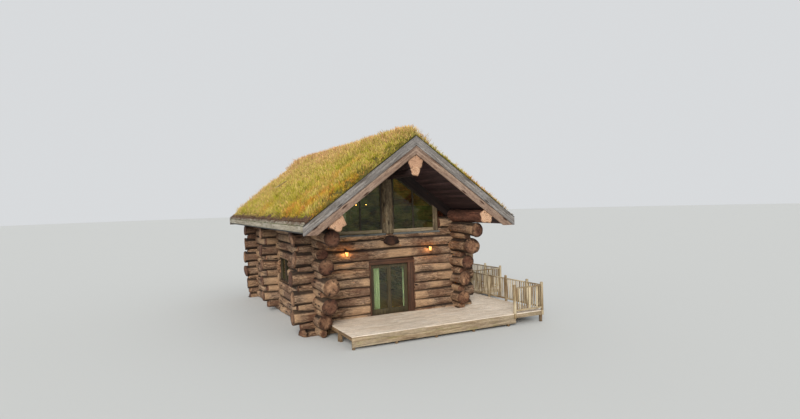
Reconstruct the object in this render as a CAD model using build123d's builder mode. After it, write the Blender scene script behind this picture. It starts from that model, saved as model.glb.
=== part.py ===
from build123d import *
from dataclasses import dataclass
import math
import os

# Driving dimensions, in millimetres.
# X runs to the right along the front, Y to the back and Z up from the ground.

# Log walls
wall_spacing = 6560  # between the centre lines of the side walls
front_wall_y = 100
wall_length = 11200  # between the centre lines of the front and back walls
cross_wall_y = 6150
first_joint = 200
course_rises = [400, 380, 380, 390, 410, 400, 320, 460, 420, 400, 400]
butt_swell = 75  # butt radius over half the course
tip_taper = 25  # tip radius under half the course
scribe_gap = 0.6
fit_gap = 0.3
opening_reach = 600  # openings are cut this far each side of a wall's centre line
ground_depth = 1000  # how far below the ground the lowest logs are cut away

# How far each log runs past the centre line of the wall that it crosses, from the ground up
front_log_left_ends = [760, 800, 1060, 840, 1040, 800, 1090, 780, 1020, 820, 1080, 350]
front_log_right_ends = [700, 880, 640, 960, 700, 940, 660, 980, 720, 960, 700, 350]
left_log_front_ends = [900, 1150, 1000, 1850, 1050, 1980, 1100, 1500, 1000, 950, 2320]
right_log_front_ends = [780, 780, 1000, 800, 1150, 900, 1330, 1000, 1800, 1350, 2250]
back_log_left_ends = [760, 700, 860, 740, 940, 700, 900, 720, 950, 700, 900, 350]
back_log_right_ends = [700, 900, 720, 940, 700, 880, 740, 920, 700, 940, 720, 350]
side_log_back_ends = [820, 1040, 860, 1090, 880, 1120, 900, 1150, 960, 1300, 1600]
cross_log_ends = [760, 1000, 780, 1040, 760, 1020, 800, 1060, 780, 1040, 350]

# Radius over half the course at the side walls' front and back corners, from the ground up
left_front_swells = [-25, 75, -25, 75, -25, 75, -25, 75, 10, 10, 75]
left_back_swells = [75, -25, 75, -25, 75, -25, 75, -25, 50, 50, 40]
right_front_swells = [75, -25, 75, -25, 75, -25, 75, -25, 75, -25, 75]
right_back_swells = [-25, 75, -25, 75, -25, 75, -5, 75, -25, 75, 40]

# Plate logs, ridge log and gable posts
plate_radius = 270
plate_height = 4660
ridge_radius = 340
ridge_height = 6920
ridge_lobe_radius = 195
ridge_lobe_drop = 390
post_radius = 260
joist_radius = 215
joist_height = 3690
joist_front_end = 480

# Roof
roof_half_width = 4610
roof_apex = 7910
roof_pitch = 35.9
front_overhang = 2970  # from the front wall's centre line to the gable face
back_overhang = 2200
roof_depth = 600  # plumb depth from the barge top to the soffit
eave_level_cut = 4240
barge_thickness = 45
outer_barge_depth = 370
lower_barge_depth = 720
barge_lap = 60
slab_drop = 20  # roof slab below the barge top
slab_heel_rise = 60  # of the slab's level soffit above the eave cut
fascia_thickness = 32
fascia_height = 250
turf_board_height = 140
turf_board_thickness = 60
turf_edge = 110
turf_crown = 300
turf_inset = 60

# Gable glazing
gable_half_width = 2500
gable_sill = 3970
gable_depth = 1100  # plumb depth from the barge top to the head of the frame
gable_bar = 70
gable_mullion_x = 1270
gable_frame_thickness = 90
gable_rafter_thickness = 190
sill_board_height = 45
sill_board_depth = 150
glass_thickness = 24
glass_edge_gap = 0.3

# Double doors
door_opening_left = -970
door_opening_right = 1170
door_head_joint = 7  # the joint between courses at the door's head
left_jamb_width = 85
right_jamb_width = 285
head_board_height = 215
jamb_depth = 190
jamb_front_y = -60
door_frame_bar = 50
door_frame_setback = 20  # behind the jambs' inner edge
threshold_height = 30
leaf_thickness = 55
leaf_stile = 95
leaf_bottom_rail = 190
leaf_clearance = 6
handle_length = 130
handle_height = 1020
handle_bar = 18
handle_reach = 52
hinge_heights = [780, 1570, 2360]
hinge_radius = 8
hinge_pin_radius = 4
hinge_pin_gap = 0.3
hinge_knuckle = 40
hinge_knuckle_gap = 0.5
hinge_wing = 42
hinge_wing_thickness = 4

# Windows in the log walls
window_width = 1850
window_sill = 1600
window_top = 2760
left_window_y = 4875
window_bar = 75
window_depth = 170

# Floor and deck
deck_top = 500
floor_thickness = 180
floor_bearer_width = 160
floor_bearer_inset = 500
floor_inset = 120
deck_board = 28
deck_front_y = -3080
deck_right_x = 5850
deck_joist_height = 150
deck_joist_width = 45
deck_joist_pitch = 600
deck_post = 100
deck_post_pitch = 1800
deck_fascia_thickness = 28
deck_clearance = 25  # between the deck's frame and the logs
deck_fascia_height = 170
deck_lower_board_height = 200
side_deck_start_y = -1600
platform_front_y = 2750
platform_back_y = 5700
platform_right_x = 7950

# Balustrade
rail_height = 1100
newel_rise = 1230
newel = 90
newel_overhang = 40  # the part of a newel outside the deck's edge
baluster = 40
baluster_pitch = 128
rail_width = 70
rail_thickness = 45
bottom_rail_gap = 90
front_rail_start_x = 4350
side_newel_places = [-2050, -480, 900]  # between the corner newel and the platform

# Lanterns
lantern_xs = [-2050, 1890]
lantern_height = 3230
lantern_y = -330
lantern_sides = 6
lantern_radius = 75
lantern_foot_radius = 56
lantern_cap_radius = 90
lantern_body_height = 190
lantern_cap_height = 90
lantern_cap_taper = 35
lantern_arm = 24

roof_slope = math.tan(math.radians(roof_pitch))
half_spacing = wall_spacing / 2
back_wall_y = front_wall_y + wall_length
gable_front_y = front_wall_y - front_overhang
gable_back_y = back_wall_y + back_overhang

joint_heights = [first_joint]
for rise in course_rises:
    joint_heights.append(joint_heights[-1] + rise)
front_centres = [0]
for lower, upper in zip(joint_heights, joint_heights[1:]):
    front_centres.append((lower + upper) / 2)

door_head = joint_heights[door_head_joint]

os.makedirs("parts", exist_ok=True)


def save(built, name):
    built.part.label = name
    export_step(built.part, f"parts/{name}.step")


def save_solids(solids, name):
    # the solids stand side by side and stay separate
    with BuildPart() as group:
        add(solids, mode=Mode.REPLACE)
    save(group, name)


@dataclass
class Joint:
    # the flat bed between two courses, by its height at two places along the wall
    places: tuple
    heights: tuple
    along_x: bool

    def plane(self, shift):
        slope = (self.heights[1] - self.heights[0]) / (self.places[1] - self.places[0])
        height = self.heights[0] + shift - slope * self.places[0]
        normal = Vector(-slope, 0, 1) if self.along_x else Vector(0, -slope, 1)
        return Plane(origin=(0, 0, height), z_dir=normal.normalized())


@dataclass
class Log:
    node: str
    start: tuple
    end: tuple
    start_radius: float
    end_radius: float
    bed: Joint = None
    top: Joint = None

    def shape(self, extra=0.0):
        run = Vector(*self.end) - Vector(*self.start)
        radii = (self.start_radius + extra, self.end_radius + extra)
        standing = (Align.CENTER, Align.CENTER, Align.MIN)
        with BuildPart(Plane(origin=self.start, z_dir=run.normalized())) as round_log:
            if radii[0] == radii[1]:
                Cylinder(radii[0], run.length, align=standing)
            else:
                Cone(*radii, run.length, align=standing)
            if self.bed:
                split(bisect_by=self.bed.plane(scribe_gap / 2 - extra), keep=Keep.TOP)
            if self.top:
                split(bisect_by=self.top.plane(extra - scribe_gap / 2), keep=Keep.BOTTOM)
        return round_log.part

    def box(self):
        radius = max(self.start_radius, self.end_radius) + 1
        pairs = list(zip(self.start, self.end))
        low = [min(pair) - radius for pair in pairs]
        high = [max(pair) + radius for pair in pairs]
        return low, high


def boxes_meet(one, other):
    return all(one[0][i] < other[1][i] and other[0][i] < one[1][i] for i in range(3))


def part_box(part):
    box = part.bounding_box()
    return tuple(box.min), tuple(box.max)


def bed_height(lower_centre, upper_centre, lower_radius, upper_radius):
    # where the outlines of two round logs of one wall cross
    rise = upper_centre - lower_centre
    return lower_centre + rise / 2 + (lower_radius**2 - upper_radius**2) / (2 * rise)


def log_wall(node, along_x, across, places, courses, ends):
    # courses holds (centre height, radius at the first place, radius at the second place)
    beds = []
    for lower, upper in zip(courses, courses[1:]):
        heights = tuple(
            bed_height(lower[0], upper[0], lower[which], upper[which]) for which in (1, 2)
        )
        beds.append(Joint(places, heights, along_x))
    beds = [None, *beds, None]
    wall = []
    for number, (centre, first_radius, second_radius) in enumerate(courses):
        taper = (second_radius - first_radius) / (places[1] - places[0])
        low, high = ends[number]
        radii = [first_radius + taper * (place - places[0]) for place in (low, high)]
        if along_x:
            tips = (low, across, centre), (high, across, centre)
        else:
            tips = (across, low, centre), (across, high, centre)
        wall.append(Log(node, *tips, *radii, beds[number], beds[number + 1]))
    return wall


def tapered_course(centre, rise, butt_first):
    butt = rise / 2 + butt_swell
    tip = rise / 2 - tip_taper
    return (centre, butt, tip) if butt_first else (centre, tip, butt)


# Walls of logs, the butts and tips alternating from course to course
side_places = (-half_spacing, half_spacing)
end_places = (front_wall_y, back_wall_y)
front_courses = []
for number, centre in enumerate(front_centres):
    rise = 2 * first_joint if number == 0 else course_rises[number - 1]
    front_courses.append(tapered_course(centre, rise, number % 2 == 0))

def side_courses(front_swells, back_swells):
    courses = []
    for number, centre in enumerate(joint_heights[:-1]):
        half = (front_centres[number + 1] - front_centres[number]) / 2
        courses.append((centre, half + front_swells[number], half + back_swells[number]))
    return [*courses, (plate_height, plate_radius, plate_radius)]


plate_front_end = front_overhang - 2 * barge_thickness
plate_back_end = back_overhang - 2 * barge_thickness


def end_wall_runs(left_ends, right_ends):
    runs = zip(left_ends, right_ends)
    return [(-half_spacing - left, half_spacing + right) for left, right in runs]


front_ends = end_wall_runs(front_log_left_ends, front_log_right_ends)
back_ends = end_wall_runs(back_log_left_ends, back_log_right_ends)


def side_ends(front_ends_given):
    fronts = [*front_ends_given, plate_front_end]
    backs = [*side_log_back_ends, plate_back_end]
    return [(front_wall_y - front, back_wall_y + back) for front, back in zip(fronts, backs)]


logs = log_wall("front_wall", True, front_wall_y, side_places, front_courses, front_ends)
logs += log_wall("back_wall", True, back_wall_y, side_places, front_courses, back_ends)
left_ends = side_ends(left_log_front_ends)
right_ends = side_ends(right_log_front_ends)
left_courses = side_courses(left_front_swells, left_back_swells)
right_courses = side_courses(right_front_swells, right_back_swells)
logs += log_wall("left_wall", False, -half_spacing, end_places, left_courses, left_ends)
logs += log_wall("right_wall", False, half_spacing, end_places, right_courses, right_ends)

# The inner wall's log ends, which show outside the side walls
cross_inner = half_spacing - first_joint
for side in (-1, 1):
    cross_courses = []
    cross_runs = []
    for number, reach in enumerate(cross_log_ends, start=1):
        rise = course_rises[number - 1]
        radius = rise / 2 + (butt_swell if number % 2 == 0 else 0)
        cross_courses.append((front_centres[number], radius, radius))
        cross_runs.append(tuple(sorted((side * cross_inner, side * (half_spacing + reach)))))
    logs += log_wall("cross_wall_ends", True, cross_wall_y, side_places, cross_courses, cross_runs)

# The joist that carries the loft and shows its end under the gable window
joist_start = (0, front_wall_y - joist_front_end, joist_height)
joist_end = (0, back_wall_y + joist_front_end, joist_height)
logs.append(Log("joist_log", joist_start, joist_end, joist_radius, joist_radius))

logs.sort(key=lambda log: log.start[2])

door_sill = deck_top
door_box = (
    (door_opening_left, front_wall_y - opening_reach, door_sill),
    (door_opening_right, front_wall_y + opening_reach, door_head),
)


def gable_box(wall_y):
    low = (-gable_half_width, wall_y - opening_reach, gable_sill)
    high = (gable_half_width, wall_y + opening_reach, roof_apex)
    return low, high


def side_window_box(x):
    low = (x - opening_reach, left_window_y - window_width / 2, window_sill)
    high = (x + opening_reach, left_window_y + window_width / 2, window_top)
    return low, high


back_window_box = (
    (-window_width / 2, back_wall_y - opening_reach, window_sill),
    (window_width / 2, back_wall_y + opening_reach, window_top),
)
wall_openings = {
    "front_wall": [door_box, gable_box(front_wall_y)],
    "back_wall": [back_window_box, gable_box(back_wall_y)],
    "left_wall": [side_window_box(-half_spacing)],
    "right_wall": [side_window_box(half_spacing)],
}


def block(low, high):
    size = [high[i] - low[i] for i in range(3)]
    middle = [(high[i] + low[i]) / 2 for i in range(3)]
    with BuildPart(Plane(origin=middle)) as box:
        Box(*size)
    return box.part


def near_logs(box, among):
    return [log.shape(scribe_gap) for log in among if boxes_meet(box, log.box())]


def other_walls(log, among):
    return [other for other in among if other.node != log.node]


def roof_cutter(depth):
    # everything above the plane that lies the given plumb depth below the barge top
    reach = 2 * roof_half_width
    with BuildPart() as above:
        with BuildSketch(Plane.XZ.offset(-gable_back_y - reach)):
            with BuildLine():
                Polyline(
                    (-reach, roof_apex - depth - roof_slope * reach),
                    (0, roof_apex - depth),
                    (reach, roof_apex - depth - roof_slope * reach),
                    (reach, 2 * roof_apex),
                    (-reach, 2 * roof_apex),
                    close=True,
                )
            make_face()
        extrude(amount=gable_back_y - gable_front_y + 2 * reach)
    return above.part


ground_reach = 2 * wall_length
below_ground = block(
    (-ground_reach, -ground_reach, -ground_depth),
    (ground_reach, ground_reach, 0),
)
above_soffit = roof_cutter(roof_depth + fit_gap)

wall_solids = {}


def wall_piece(log, solid):
    if log.start[2] == plate_height:
        return "plate_log_left" if log.node == "left_wall" else "plate_log_right"
    if log.node != "front_wall":
        return log.node
    middle = solid.bounding_box().center()
    if middle.Z < door_sill:
        return "front_sill_logs"
    if middle.Z > door_head:
        return "front_wall_over_door"
    return "front_wall_left" if middle.X < 0 else "front_wall_right"


for index, log in enumerate(logs):
    cutters = near_logs(log.box(), other_walls(log, logs[:index]))
    for low, high in wall_openings.get(log.node, []):
        if boxes_meet((low, high), log.box()):
            # a course below the opening's head is cut through to its own top
            top = log.box()[1][2] if log.start[2] < high[2] else high[2]
            cutters.append(block(low, (high[0], high[1], top)))
    if log.box()[0][2] < 0:
        cutters.append(below_ground)
    if log.start[2] == plate_height:
        cutters.append(above_soffit)
    with BuildPart() as scribed:
        add(log.shape())
        if cutters:
            add(cutters, mode=Mode.SUBTRACT)
    for solid in scribed.part.solids():
        wall_solids.setdefault(wall_piece(log, solid), []).append(solid)

for name, solids in wall_solids.items():
    save_solids(solids, name)


# Ridge log, with its smaller lobe below
ridge_front_y = gable_front_y + 2 * barge_thickness
ridge_back_y = gable_back_y - 2 * barge_thickness
ridge_log = Log(
    "ridge_log",
    (0, ridge_front_y, ridge_height),
    (0, ridge_back_y, ridge_height),
    ridge_radius,
    ridge_radius,
)
lobe_height = ridge_height - ridge_lobe_drop
ridge_lobe = Log(
    "ridge_log",
    (0, ridge_front_y, lobe_height),
    (0, ridge_back_y, lobe_height),
    ridge_lobe_radius,
    ridge_lobe_radius,
)
with BuildPart() as ridge:
    add(ridge_log.shape())
    add(ridge_lobe.shape())
    add(above_soffit, mode=Mode.SUBTRACT)
save(ridge, "ridge_log")

round_timbers = logs + [ridge_log, ridge_lobe]


def fitted(part, clear_of=None):
    # cut round the logs that the part meets, with a scribed gap, apart from those
    # of a wall whose opening already holds the part
    box = part_box(part)
    cutters = near_logs(box, [log for log in round_timbers if log.node != clear_of])
    if not cutters:
        return part
    with BuildPart() as cut:
        add(part)
        add(cutters, mode=Mode.SUBTRACT)
    return cut.part


def main_solid(part):
    return part.solids().sort_by(SortBy.VOLUME)[-1]


# Gable posts, frames and glass
def roof_line(depth, x):
    return roof_apex - depth - roof_slope * abs(x)


def sloped_outline(inner_x, outer_x, bottom, depth):
    return [
        (inner_x, bottom),
        (outer_x, bottom),
        (outer_x, roof_line(depth, outer_x)),
        (inner_x, roof_line(depth, inner_x)),
    ]


def upright_plate(points, front_y, thickness):
    with BuildPart() as plate:
        with BuildSketch(Plane.XZ.offset(-front_y)):
            with BuildLine():
                Polyline(*points, close=True)
            make_face()
        extrude(amount=-thickness)
    return plate.part


def gable(end, wall_y, outward):
    # outward is -1 on the front gable and 1 on the back gable
    post = Log(
        "gable_post",
        (0, wall_y, gable_sill + fit_gap),
        (0, wall_y, ridge_height),
        post_radius,
        post_radius,
    )
    with BuildPart() as post_piece:
        add(main_solid(fitted(post.shape(), f"{end}_wall")))
    save(post_piece, f"gable_post_{end}")

    frame_y = wall_y - gable_frame_thickness / 2
    glass_y = wall_y - glass_thickness / 2
    bar_depth = gable_depth + gable_bar / math.cos(math.radians(roof_pitch))
    frame_solids = []
    glass_solids = []
    for side in (-1, 1):
        outer_x = side * (gable_half_width - fit_gap)
        inner_x = side * (post_radius + scribe_gap)
        pane_edges = [
            (inner_x + side * gable_bar, side * (gable_mullion_x - gable_bar / 2)),
            (side * (gable_mullion_x + gable_bar / 2), outer_x - side * gable_bar),
        ]
        outline = sloped_outline(inner_x, outer_x, gable_sill + fit_gap, gable_depth)
        with BuildPart() as frame:
            add(upright_plate(outline, frame_y, gable_frame_thickness))
            for inner, outer in pane_edges:
                hole = sloped_outline(inner, outer, gable_sill + gable_bar, bar_depth)
                add(upright_plate(hole, frame_y, gable_frame_thickness), mode=Mode.SUBTRACT)
        frame_solids.append(main_solid(fitted(frame.part, f"{end}_wall")))
        for inner, outer in pane_edges:
            glass_bottom = gable_sill + gable_bar + glass_edge_gap
            pane = sloped_outline(
                inner + side * glass_edge_gap,
                outer - side * glass_edge_gap,
                glass_bottom,
                bar_depth + glass_edge_gap,
            )
            glass_solids.append(upright_plate(pane, glass_y, glass_thickness))
    save_solids(frame_solids, f"gable_frame_{end}")
    save_solids(glass_solids, f"gable_glass_{end}")

    # sloping timbers between the frame and the soffit
    rafter_y = wall_y - gable_rafter_thickness / 2
    rafter_solids = []
    for side in (-1, 1):
        inner_x = side * (post_radius + scribe_gap)
        outer_x = side * half_spacing
        points = [
            (inner_x, roof_line(roof_depth + fit_gap, inner_x)),
            (outer_x, roof_line(roof_depth + fit_gap, outer_x)),
            (outer_x, roof_line(gable_depth - fit_gap, outer_x)),
            (inner_x, roof_line(gable_depth - fit_gap, inner_x)),
        ]
        rafter = upright_plate(points, rafter_y, gable_rafter_thickness)
        rafter_solids.append(main_solid(fitted(rafter)))
    save_solids(rafter_solids, f"gable_rafters_{end}")

    # sill board in front of the top log
    face_y = wall_y + outward * (gable_frame_thickness / 2 + fit_gap)
    board_y = face_y + outward * sill_board_depth
    low_y, high_y = sorted((face_y, board_y))
    reach = gable_half_width - fit_gap
    board = block(
        (-reach, low_y, gable_sill + fit_gap),
        (reach, high_y, gable_sill + fit_gap + sill_board_height),
    )
    with BuildPart() as sill:
        add(board)
        add(post.shape(scribe_gap), mode=Mode.SUBTRACT)
    save(sill, f"gable_sill_{end}")


gable("front", front_wall_y, -1)
gable("back", back_wall_y, 1)


# Roof slabs, bargeboards, eaves and turf
def mirrored_x(part):
    return part.mirror(Plane.YZ)


def both_sides(part, name):
    with BuildPart() as right:
        add(part)
    save(right, f"{name}_right")
    with BuildPart() as left:
        add(mirrored_x(part))
    save(left, f"{name}_left")


slab_front_y = gable_front_y + 2 * barge_thickness
slab_back_y = gable_back_y - 2 * barge_thickness
slab_edge_x = roof_half_width - fascia_thickness
slab_bottom = eave_level_cut + slab_heel_rise
slab_heel_x = (roof_apex - roof_depth - slab_bottom) / roof_slope
slab_outline = [
    (0, roof_line(slab_drop, 0)),
    (slab_edge_x, roof_line(slab_drop, slab_edge_x)),
    (slab_edge_x, slab_bottom),
    (slab_heel_x, slab_bottom),
    (0, roof_line(roof_depth, 0)),
]
both_sides(upright_plate(slab_outline, slab_front_y, slab_back_y - slab_front_y), "roof_slab")


def barge_outline(upper_depth, lower_depth, tip_x):
    # the two boards meet at the ridge in a plumb joint
    joint_x = fit_gap / 2
    points = [(joint_x, roof_line(upper_depth, joint_x)), (tip_x, roof_line(upper_depth, tip_x))]
    if roof_line(lower_depth, tip_x) < eave_level_cut:
        heel_x = (roof_apex - lower_depth - eave_level_cut) / roof_slope
        points += [(tip_x, eave_level_cut), (heel_x, eave_level_cut)]
    else:
        points.append((tip_x, roof_line(lower_depth, tip_x)))
    points.append((joint_x, roof_line(lower_depth, joint_x)))
    return points


def bargeboards(name, face_y, outward):
    # the outer board laps over the lower one; outward is -1 on the front gable, 1 on the back
    lower_face_y = face_y - outward * (barge_thickness + fit_gap)
    lower_upper_edge = outer_barge_depth - barge_lap
    boards = (
        (0, outer_barge_depth, roof_half_width, face_y),
        (lower_upper_edge, lower_barge_depth, slab_edge_x, lower_face_y),
    )
    solids = []
    for upper_depth, lower_depth, tip_x, outer_y in boards:
        inner_y = outer_y - outward * (barge_thickness - fit_gap)
        low_y = min(outer_y, inner_y)
        points = barge_outline(upper_depth, lower_depth, tip_x)
        board = upright_plate(points, low_y, barge_thickness - fit_gap)
        solids += [board.solid(), mirrored_x(board).solid()]
    save_solids(solids, name)


bargeboards("bargeboards_front", gable_front_y, -1)
bargeboards("bargeboards_back", gable_back_y, 1)

# Eave fascia, and the board that holds the turf
eave_top = roof_line(slab_drop, slab_edge_x)
turf_board_inner_x = slab_edge_x - turf_board_thickness
fascia = block(
    (slab_edge_x, slab_front_y, eave_top - fascia_height),
    (roof_half_width, slab_back_y, eave_top),
)
turf_board_outer_x = slab_edge_x - fit_gap
turf_board_points = [
    (turf_board_inner_x, roof_line(slab_drop, turf_board_inner_x)),
    (turf_board_outer_x, roof_line(slab_drop, turf_board_outer_x)),
    (turf_board_outer_x, eave_top + turf_board_height),
    (turf_board_inner_x, eave_top + turf_board_height),
]
turf_board = upright_plate(turf_board_points, slab_front_y, slab_back_y - slab_front_y)
for side in ("right", "left"):
    boards = [fascia, turf_board]
    if side == "left":
        boards = [mirrored_x(board) for board in boards]
    save_solids([board.solid() for board in boards], f"eave_boards_{side}")

turf_toe_x = turf_board_inner_x - fit_gap
turf_front_y = gable_front_y + turf_inset
turf_back_y = gable_back_y - turf_inset
with BuildPart() as turf:
    with BuildSketch(Plane.XZ.offset(-turf_front_y)):
        with BuildLine():
            Polyline(
                (0, roof_line(slab_drop, 0)),
                (turf_toe_x, roof_line(slab_drop, turf_toe_x)),
                (turf_toe_x, roof_line(slab_drop - turf_edge, turf_toe_x)),
                (0.5 * turf_toe_x, roof_line(slab_drop - turf_crown, 0.5 * turf_toe_x)),
                (0, roof_line(-turf_crown, 0)),
                close=True,
            )
        make_face()
    extrude(amount=turf_front_y - turf_back_y)
both_sides(turf.part, "turf")


# Double doors in their frame
def box_part(name, *boxes):
    save_solids([block(low, high).solid() for low, high in boxes], name)


jamb_back_y = jamb_front_y + jamb_depth
frame_left_x = door_opening_left + left_jamb_width
frame_right_x = door_opening_right - right_jamb_width
frame_top = door_head - head_board_height
box_part(
    "door_trim",
    (
        (door_opening_left + fit_gap, jamb_front_y, door_sill + fit_gap),
        (frame_left_x, jamb_back_y, frame_top - fit_gap),
    ),
    (
        (frame_right_x, jamb_front_y, door_sill + fit_gap),
        (door_opening_right - fit_gap, jamb_back_y, frame_top - fit_gap),
    ),
    (
        (door_opening_left + fit_gap, jamb_front_y, frame_top),
        (door_opening_right - fit_gap, jamb_back_y, door_head - fit_gap),
    ),
)
leaf_front_y = front_wall_y - leaf_thickness
leaf_back_y = leaf_front_y + leaf_thickness
frame_back_y = jamb_back_y - door_frame_setback
opening_left_x = frame_left_x + door_frame_bar
opening_right_x = frame_right_x - door_frame_bar
leaf_bottom = door_sill + threshold_height + leaf_clearance
leaf_top = frame_top - door_frame_bar - leaf_clearance
door_middle_x = (opening_left_x + opening_right_x) / 2
hinge_y = leaf_front_y - hinge_radius
hinge_xs = [opening_left_x + leaf_clearance / 2, opening_right_x - leaf_clearance / 2]


def upright_rod(x, radius, bottom, top):
    with BuildPart(Plane((x, hinge_y, bottom))) as rod:
        Cylinder(radius, top - bottom, align=(Align.CENTER, Align.CENTER, Align.MIN))
    return rod.part


def knuckle(axis_x, bottom, direction):
    # a barrel with the wing that lies on the face behind it
    top = bottom + hinge_knuckle
    low_x, high_x = sorted((axis_x, axis_x + direction * hinge_wing))
    with BuildPart() as piece:
        add(upright_rod(axis_x, hinge_radius, bottom, top))
        add(
            block(
                (low_x, leaf_front_y - hinge_wing_thickness, bottom),
                (high_x, leaf_front_y, top),
            )
        )
    return piece.part


with BuildPart() as door_frame:
    add(
        block(
            (frame_left_x + fit_gap, leaf_front_y, door_sill + fit_gap),
            (frame_right_x - fit_gap, frame_back_y, frame_top - fit_gap),
        )
    )
    add(
        block(
            (opening_left_x, leaf_front_y, door_sill + threshold_height),
            (opening_right_x, frame_back_y, frame_top - door_frame_bar),
        ),
        mode=Mode.SUBTRACT,
    )
    for axis_x, direction in zip(hinge_xs, (-1, 1)):
        for height in hinge_heights:
            upper_bottom = height + hinge_knuckle / 2 + hinge_knuckle_gap
            lower_bottom = height - 1.5 * hinge_knuckle - hinge_knuckle_gap
            add(knuckle(axis_x, lower_bottom, direction))
            add(knuckle(axis_x, upper_bottom, direction))
            add(upright_rod(axis_x, hinge_pin_radius, lower_bottom, upper_bottom))
save(door_frame, "door_frame")

leaf_sides = (("left", opening_left_x, hinge_xs[0], 1), ("right", opening_right_x, hinge_xs[1], -1))
for name, opening_x, axis_x, direction in leaf_sides:
    hinge_edge_x = opening_x + direction * leaf_clearance
    meeting_x = door_middle_x - direction * leaf_clearance / 2
    low_x, high_x = sorted((hinge_edge_x, meeting_x))
    glass_low = (low_x + leaf_stile, leaf_front_y, leaf_bottom + leaf_bottom_rail)
    glass_high = (high_x - leaf_stile, leaf_back_y, leaf_top - leaf_stile)
    bore_radius = hinge_pin_radius + hinge_pin_gap
    with BuildPart() as leaf:
        add(block((low_x, leaf_front_y, leaf_bottom), (high_x, leaf_back_y, leaf_top)))
        add(block(glass_low, glass_high), mode=Mode.SUBTRACT)
        for height in hinge_heights:
            bottom = height - hinge_knuckle / 2
            add(knuckle(axis_x, bottom, direction))
            bore = upright_rod(axis_x, bore_radius, bottom, bottom + hinge_knuckle)
            add(bore, mode=Mode.SUBTRACT)
    save(leaf, f"door_leaf_{name}")
    pane_y = leaf_front_y + (leaf_thickness - glass_thickness) / 2
    pane_low = (glass_low[0] + glass_edge_gap, pane_y, glass_low[2] + glass_edge_gap)
    pane_high = (
        glass_high[0] - glass_edge_gap,
        pane_y + glass_thickness,
        glass_high[2] - glass_edge_gap,
    )
    box_part(f"door_glass_{name}", (pane_low, pane_high))
    print(f"door {name}: axis x {axis_x}, y {hinge_y}, leaf width {high_x - low_x}")

# lever handle on the right-hand leaf, inside and outside
handle_x = door_middle_x + leaf_clearance / 2 + leaf_stile / 2
handle_z = deck_top + handle_height
half_bar = handle_bar / 2
with BuildPart() as handle:
    for face_y, outward in ((leaf_front_y, -1), (leaf_back_y, 1)):
        tip_y = face_y + outward * handle_reach
        near, far = sorted((face_y, tip_y))
        grip_near, grip_far = sorted((tip_y - outward * handle_bar, tip_y))
        add(
            block(
                (handle_x - half_bar, near, handle_z - half_bar),
                (handle_x + half_bar, far, handle_z + half_bar),
            )
        )
        add(
            block(
                (handle_x - half_bar, grip_near, handle_z - half_bar),
                (handle_x + handle_length, grip_far, handle_z + half_bar),
            )
        )
save(handle, "door_handle")


# Windows in the log walls
def window(wall_axis, place):
    # the frame fills the opening; its glass stands in the middle of the frame
    centre_z = (window_sill + window_top) / 2
    frame_height = window_top - window_sill - 2 * fit_gap
    frame_width = window_width - 2 * fit_gap
    outward = wall_axis.cross(Vector(0, 0, 1))
    plane = Plane(origin=(*place, centre_z), x_dir=wall_axis, z_dir=outward)
    pane_width = (frame_width - 3 * window_bar) / 2
    pane_height = frame_height - 2 * window_bar
    pane_places = [(-(pane_width + window_bar) / 2, 0), ((pane_width + window_bar) / 2, 0)]
    with BuildPart() as frame:
        with BuildSketch(plane):
            Rectangle(frame_width, frame_height)
            with Locations(*pane_places):
                Rectangle(pane_width, pane_height, mode=Mode.SUBTRACT)
        extrude(amount=window_depth / 2, both=True)
    with BuildPart() as glass:
        with BuildSketch(plane):
            with Locations(*pane_places):
                Rectangle(pane_width - 2 * glass_edge_gap, pane_height - 2 * glass_edge_gap)
        extrude(amount=glass_thickness / 2, both=True)
    return frame.part.solids(), glass.part.solids()


window_places = (
    (Vector(0, 1, 0), (-half_spacing, left_window_y)),
    (Vector(0, 1, 0), (half_spacing, left_window_y)),
    (Vector(1, 0, 0), (0, back_wall_y)),
)
window_frames = []
window_panes = []
for wall_axis, place in window_places:
    frame_solids, pane_solids = window(wall_axis, place)
    window_frames += frame_solids
    window_panes += pane_solids
save_solids(window_frames, "window_frames")
save_solids(window_panes, "window_glass")

# Floor on bearers that stand on the ground
floor_bottom = deck_top - floor_thickness
floor_edge_x = half_spacing - floor_inset
floor_front_y = front_wall_y + floor_inset
floor_back_y = back_wall_y - floor_inset
floor_block = block((-floor_edge_x, floor_front_y, floor_bottom), (floor_edge_x, floor_back_y, deck_top))
save_solids([main_solid(fitted(floor_block))], "floor")
bearer_solids = []
for bearer_x in (-floor_edge_x / 2, 0, floor_edge_x / 2):
    bearer = block(
        (bearer_x - floor_bearer_width / 2, floor_front_y + floor_bearer_inset, 0),
        (bearer_x + floor_bearer_width / 2, floor_back_y - floor_bearer_inset, floor_bottom - fit_gap),
    )
    bearer_solids.append(bearer.solid())
save_solids(bearer_solids, "floor_bearers")


# Deck: boards, frames on posts, and fascia boards
log_reach = first_joint + butt_swell + deck_clearance
deck_left_x = -half_spacing + log_reach
deck_bottom = deck_top - deck_board
frame_bottom = deck_bottom - deck_joist_height
log_clear_x = half_spacing + log_reach
deck_back_y = front_wall_y - first_joint


def spaced(low, high, pitch):
    count = max(1, round((high - low) / pitch))
    step = (high - low) / count
    return [low + step * number for number in range(count + 1)]


def deck_frame(low, high):
    # joists run along Y between two long beams
    half = deck_joist_width / 2
    with BuildPart() as frame:
        for x in spaced(low[0] + half, high[0] - half, deck_joist_pitch):
            add(block((x - half, low[1], frame_bottom), (x + half, high[1], deck_bottom)))
        for y in (low[1] + half, high[1] - half):
            add(block((low[0], y - half, frame_bottom), (high[0], y + half, deck_bottom)))
    return frame.part.solid()


def deck_posts(low, high):
    half = deck_post / 2
    posts = []
    for x in spaced(low[0] + half, high[0] - half, deck_post_pitch):
        for y in (low[1] + half, high[1] - half):
            post = block((x - half, y - half, 0), (x + half, y + half, frame_bottom - fit_gap))
            posts.append(post.solid())
    return posts


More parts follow.
